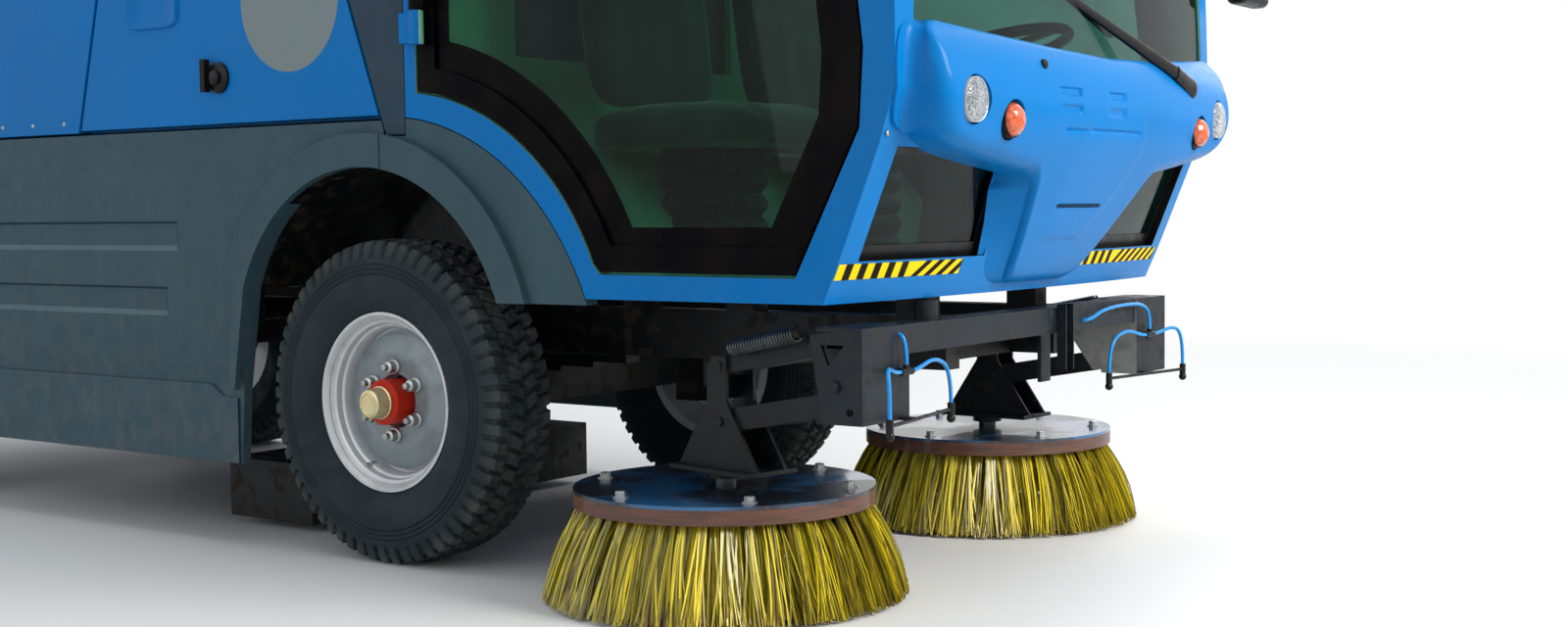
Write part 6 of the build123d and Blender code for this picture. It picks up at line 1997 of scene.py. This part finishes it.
@dataclass
class BoomTrim:
    """Fittings of one brush boom, in its own line: a coil spring over the links, the
    motor's ribbed housing and the disc's bolt heads."""

    side: Side
    turn_degrees: float
    pivot: Pair = (1.330, 0.660)
    spring_ends: Profile = ((-0.340, 0.560), (-0.112, 0.604))
    spring_y: float = 0.058
    spring_radius: float = 0.0158
    wire: float = 0.0028
    coils: int = 26
    head_x: float = -0.430
    motor_z: Pair = (0.293, 0.346)
    motor_top: Profile = ((0.351, 0.030), (0.353, 0.018), (0.366, 0.016), (0.368, POLE))
    bolt: Profile = ((-0.001, 0.017), (0.003, 0.017), (0.0035, 0.012), (0.012, 0.012), (0.0145, 0.010), (0.015, POLE))
    disc_top: float = 0.250
    bolt_circle: float = 0.292
    disc_bolts: int = 6
    motor_radius: float = 0.0348
    motor_rib: float = 0.0009

    def placed(self, points: np.ndarray) -> np.ndarray:
        """Points of the boom's line turned and moved to its swing pin.

        Args:
            points: Points in the boom's own line.

        Returns:
            Points in the frame.
        """
        turn = math.radians(self.turn_degrees)
        x = points[..., 0] * math.cos(turn) - points[..., 1] * math.sin(turn)
        y = points[..., 0] * math.sin(turn) + points[..., 1] * math.cos(turn)
        return from_axle(self.pivot[0] + x, self.side.value * self.pivot[1] + y, points[..., 2])

    def spring(self) -> np.ndarray:
        """Helix: the middle line winds round the spring's axis in equal steps."""
        start, end = (np.array((x, self.side.value * self.spring_y, z)) for x, z in self.spring_ends)
        along = (end - start) / np.linalg.norm(end - start)
        first = np.array((0.0, 1.0, 0.0))
        second = np.cross(along, first)
        share = np.linspace(0.03, 0.97, self.coils * 16)[:, None]
        turn = share * self.coils * 2 * math.pi
        line = start + (end - start) * share + self.spring_radius * (np.cos(turn) * first + np.sin(turn) * second)
        return tube(line, self.wire, 8)

    def build(self, finishes: Finishes) -> None:
        """Make the fittings.

        Args:
            finishes: The sweeper's finishes.
        """
        word = self.side.word
        Skin(f"Spring_{word}").grid(self.placed(self.spring()), wrap_columns=True).build(
            f"boom_upper_{word}", finishes.dark_steel, 50.0)
        low, high = self.motor_z
        rows = np.linspace(low, high, 40)
        ribs = self.motor_radius + self.motor_rib * np.cos((rows - low) / (high - low) * math.pi * 10)
        shell = np.concatenate(([(low, POLE)], np.column_stack((rows, ribs)), self.motor_top))
        motor = lathe(shell, (self.head_x, 0.0, 0.0), UPWARD, 40)
        Skin(f"Motor_{word}").grid(self.placed(motor), wrap_columns=True).build(f"head_{word}", finishes.motor, 35.0)
        bolts = Skin(f"Disc_bolts_{word}")
        for index in range(self.disc_bolts):
            angle = (index + 0.5) * 2 * math.pi / self.disc_bolts
            spot = (self.head_x + self.bolt_circle * math.cos(angle), self.bolt_circle * math.sin(angle), self.disc_top)
            bolts.grid(self.placed(lathe(self.bolt, spot, UPWARD, 6)), wrap_columns=True)
        bolts.build(f"brush_{word}", finishes.steel, 25.0)


@dataclass
class Studio:
    """Camera at the photo's angle, a pale floor and soft lights."""

    location: Point = (3.366, -3.8341, 0.8667)
    yaw: float = 34.974
    pitch: float = 3.3147
    roll: float = -0.5952
    lens: float = 42.02
    sensor: float = 36.0
    floor: Colour = (0.80, 0.80, 0.79)
    floor_half: float = 30.0
    fade: Pair = (2.6, 8.0)
    sky: Colour = (0.86, 0.93, 1.0)
    sky_strength: float = 0.5

    def camera(self) -> None:
        """Set the camera: it looks along a line turned from +Y by the yaw and down by the
        pitch, and rolls about that line."""
        data = bpy.data.cameras.new("Photo_camera")
        data.lens = self.lens
        data.sensor_width = self.sensor
        data.clip_end = 200.0
        camera = linked("Photo_camera", data)
        yaw, pitch, roll = (math.radians(angle) for angle in (self.yaw, self.pitch, self.roll))
        ahead = Vector((-math.sin(yaw) * math.cos(pitch), math.cos(yaw) * math.cos(pitch), -math.sin(pitch)))
        right = Vector((math.cos(yaw), math.sin(yaw), 0.0))
        up = right.cross(ahead)
        across = right * math.cos(roll) + up * math.sin(roll)
        upward = up * math.cos(roll) - right * math.sin(roll)
        turn = Matrix((across, upward, -ahead)).transposed().to_4x4()
        camera.matrix_world = Matrix.Translation((AXLE_X + self.location[0], *self.location[1:])) @ turn
        bpy.context.scene.camera = camera

    def light(self, name: str, place_at: Point, aim: Point, size: float, power: float, colour: Colour) -> None:
        """Hang one soft square light.

        Args:
            name: Light's name.
            place_at: Where it hangs.
            aim: Point that it looks at.
            size: Side of the square.
            power: Watts.
            colour: Its colour.
        """
        data = bpy.data.lights.new(name, "AREA")
        data.size = size
        data.energy = power
        data.color = colour
        lamp = linked(name, data)
        lamp.location = place_at
        lamp.rotation_mode = "QUATERNION"
        lamp.rotation_quaternion = (Vector(aim) - Vector(place_at)).to_track_quat("-Z", "Y")

    def backdrop(self) -> None:
        """White to the camera and in reflections, and dimmer as a light."""
        world = bpy.data.worlds.new("Studio_world")
        bpy.context.scene.world = world
        world.use_nodes = True
        nodes = Nodes(world.node_tree)
        nodes.tree.nodes.clear()
        path = nodes.node("LightPath")
        seen = path.outputs["Is Camera Ray"]
        for ray in ("Is Transmission Ray", "Is Glossy Ray"):
            seen = nodes.calc("MAXIMUM", seen, path.outputs[ray])
        dim, pale = nodes.node("Background"), nodes.node("Background")
        nodes.feed(dim.inputs["Color"], self.sky)
        nodes.feed(dim.inputs["Strength"], self.sky_strength)
        nodes.feed(pale.inputs["Color"], (1.0, 1.0, 1.0))
        nodes.link(nodes.blend(seen, dim.outputs[0], pale.outputs[0]), nodes.node("OutputWorld").inputs["Surface"])

    def ground(self) -> None:
        """Lay the pale floor, which fades into the white backdrop far from the object."""
        half = self.floor_half
        corners = [(-half, -half, 0.0), (half, -half, 0.0), (half, half, 0.0), (-half, half, 0.0)]
        mesh = bpy.data.meshes.new("Floor")
        mesh.from_pydata(corners, [], [(0, 1, 2, 3)])
        recipe = Recipe("floor_pale")
        recipe.set(Base_Color=self.floor, Roughness=0.6)
        away = recipe.node("VectorMath")
        away.operation = "LENGTH"
        recipe.link(recipe.place, away.inputs[0])
        far = recipe.ramp(away.outputs["Value"], *self.fade)
        share = recipe.times(far, recipe.node("LightPath").outputs["Is Camera Ray"])
        faded = recipe.blend(share, recipe.shader.outputs[0], recipe.node("Emission").outputs[0])
        recipe.link(faded, recipe.tree.nodes["Material Output"].inputs["Surface"])
        mesh.materials.append(recipe.material)
        linked("Floor", mesh)

    def build(self) -> None:
        """Set the floor, the backdrop and the lights."""
        bpy.context.scene.view_settings.view_transform = "Standard"
        self.ground()
        self.backdrop()
        cab = (0.9, 0.0, 0.8)
        self.light("Key", (7.4, 0.4, 4.2), cab, 2.6, 470.0, (1.0, 0.97, 0.92))
        self.light("Fill", (0.0, -6.5, 3.2), cab, 4.5, 60.0, (0.92, 0.96, 1.0))
        self.light("Far_side", (1.0, 6.0, 4.0), cab, 4.0, 110.0, (0.95, 0.97, 1.0))
        self.light("Overhead", (0.0, 0.0, 7.0), (0.0, 0.0, 0.0), 5.0, 130.0, (1.0, 1.0, 1.0))


def dresses(finishes: Finishes) -> list[Dress]:
    """How every CAD node that stays in sight is finished.

    Args:
        finishes: The sweeper's finishes.

    Returns:
        One entry a node.
    """
    plain = (
        Dress("chassis_frame", finishes.frame, "frame_black"),
        Dress("engine_block", finishes.iron, "engine_iron", 0.006),
        Dress("axles", finishes.frame, "frame_black"),
        Dress("cab_shell", finishes.body, "body_blue", 0.004, lining=(finishes.lining, (AXLE_X + 0.75, 0.0, 1.35))),
        Dress("cab_roof", finishes.body, "body_blue"),
        Dress("cab_glass", finishes.glass, "glass_tint"),
        Dress("mirrors", finishes.black, "door_black"),
        Dress("dashboard", finishes.interior, "dash_plastic", 0.008),
        Dress("steering_wheel", finishes.black, "dash_plastic"),
        Dress("engine_housing", finishes.body, "body_blue", 0.004),
        Dress("intake_columns", finishes.column, "column_dark", 0.004),
        Dress("rear_bumper", finishes.frame, "frame_black", 0.004),
        Dress("tail_lamps", finishes.lens_red, "lamp_red", 0.006),
        Dress("suction_nozzle", finishes.frame, "frame_black", 0.003),
        Dress("suction_duct", finishes.duct, "duct_black"),
        Dress("brush_beam", finishes.beam, "beam_dark", 0.0025, (
            (finishes.galvanised, (AXLE_X + 1.19, -0.572, 0.42), (AXLE_X + 1.393, -0.568, 0.625)),
            (finishes.galvanised, (AXLE_X + 1.19, 0.568, 0.42), (AXLE_X + 1.393, 0.572, 0.625)),
        )),
        Dress("spray_bars", finishes.black, "frame_black"),
        Dress("hopper_shell", finishes.body, "body_blue", 0.005),
        Dress("hopper_door", finishes.body, "body_blue", 0.004),
        Dress("tip_barrel", finishes.frame, "frame_black"),
        Dress("tip_rod", finishes.steel, "steel_bare"),
    )
    sided = []
    # Painted shade: the inward faces of the skirts and fenders, inside the wheel arches, take the near-black frame
    # paint.
    arch_shade = ((finishes.frame, (-9.0, -0.745, -9.0), (9.0, 0.745, 9.0)),)
    for side in Side:
        word = side.word
        sided += [
            *(Dress(f"{part}_{word}", finishes.moulded, "moulded_grey", 0.005, arch_shade) for part in ("skirt", "fender")),
            Dress(f"service_door_{word}", finishes.side_door, "body_blue", 0.004),
            Dress(f"door_frame_{word}", finishes.door, "door_black", 0.004),
            Dress(f"door_glass_{word}", finishes.dark_glass, "glass_tint"),
            # The boom finish carries painted shade: it is darker than the machine paint, for the shade under the cab.
            *(Dress(f"{part}_{word}", finishes.boom, "beam_dark", 0.002)
              for part in ("swing_bracket", "upper_link", "lower_link", "brush_head")),
            Dress(f"brush_disc_{word}", finishes.disc, "disc_paint"),
            Dress(f"knuckle_{word}", finishes.frame, "frame_black"),
        ]
    return [*plain, *sided]


def main() -> None:
    """Build and dress the sweeper, then set the camera, floor, backdrop and lights."""
    logging.basicConfig(level=logging.INFO, format="%(message)s")
    studio = Studio()
    studio.camera()
    finishes = Finishes()
    Hoses().build(finishes.hose)
    log.info("hoses")
    for dress in dresses(finishes):
        dress.apply()
    log.info("nodes dressed")
    for side in Side:
        for end in ("front", "rear"):
            Tyre(f"tyre_{end}_{side.word}", f"{end}_wheel_{side.word}").build(finishes.tyre)
            Rim(f"rim_{end}_{side.word}", f"{end}_wheel_{side.word}", side).build(finishes)
        Brush(side).build(finishes.bristle)
    log.info("wheels and brushes")
    for side, turn_degrees in ((Side.RIGHT, -13.0), (Side.LEFT, -2.7)):
        BoomTrim(side, turn_degrees).build(finishes)
    nose = Nose()
    nose.build(finishes.body)
    NoseTrim().build(finishes, nose)
    Channel().build(finishes.beam)
    DoorMasks().build(finishes.door)
    CornerSeals().build(finishes.black)
    Wiper().build(finishes.black)
    MirrorFaces().build(finishes.mirror)
    Rivets().build(finishes.steel)
    for group in (SkirtTrim(), DoorTrim(), Lamps(), SillTape(), Seats()):
        group.build(finishes)
    log.info("nose, lamps, seats and trim")
    studio.build()


if __name__ == "__main__":
    main()
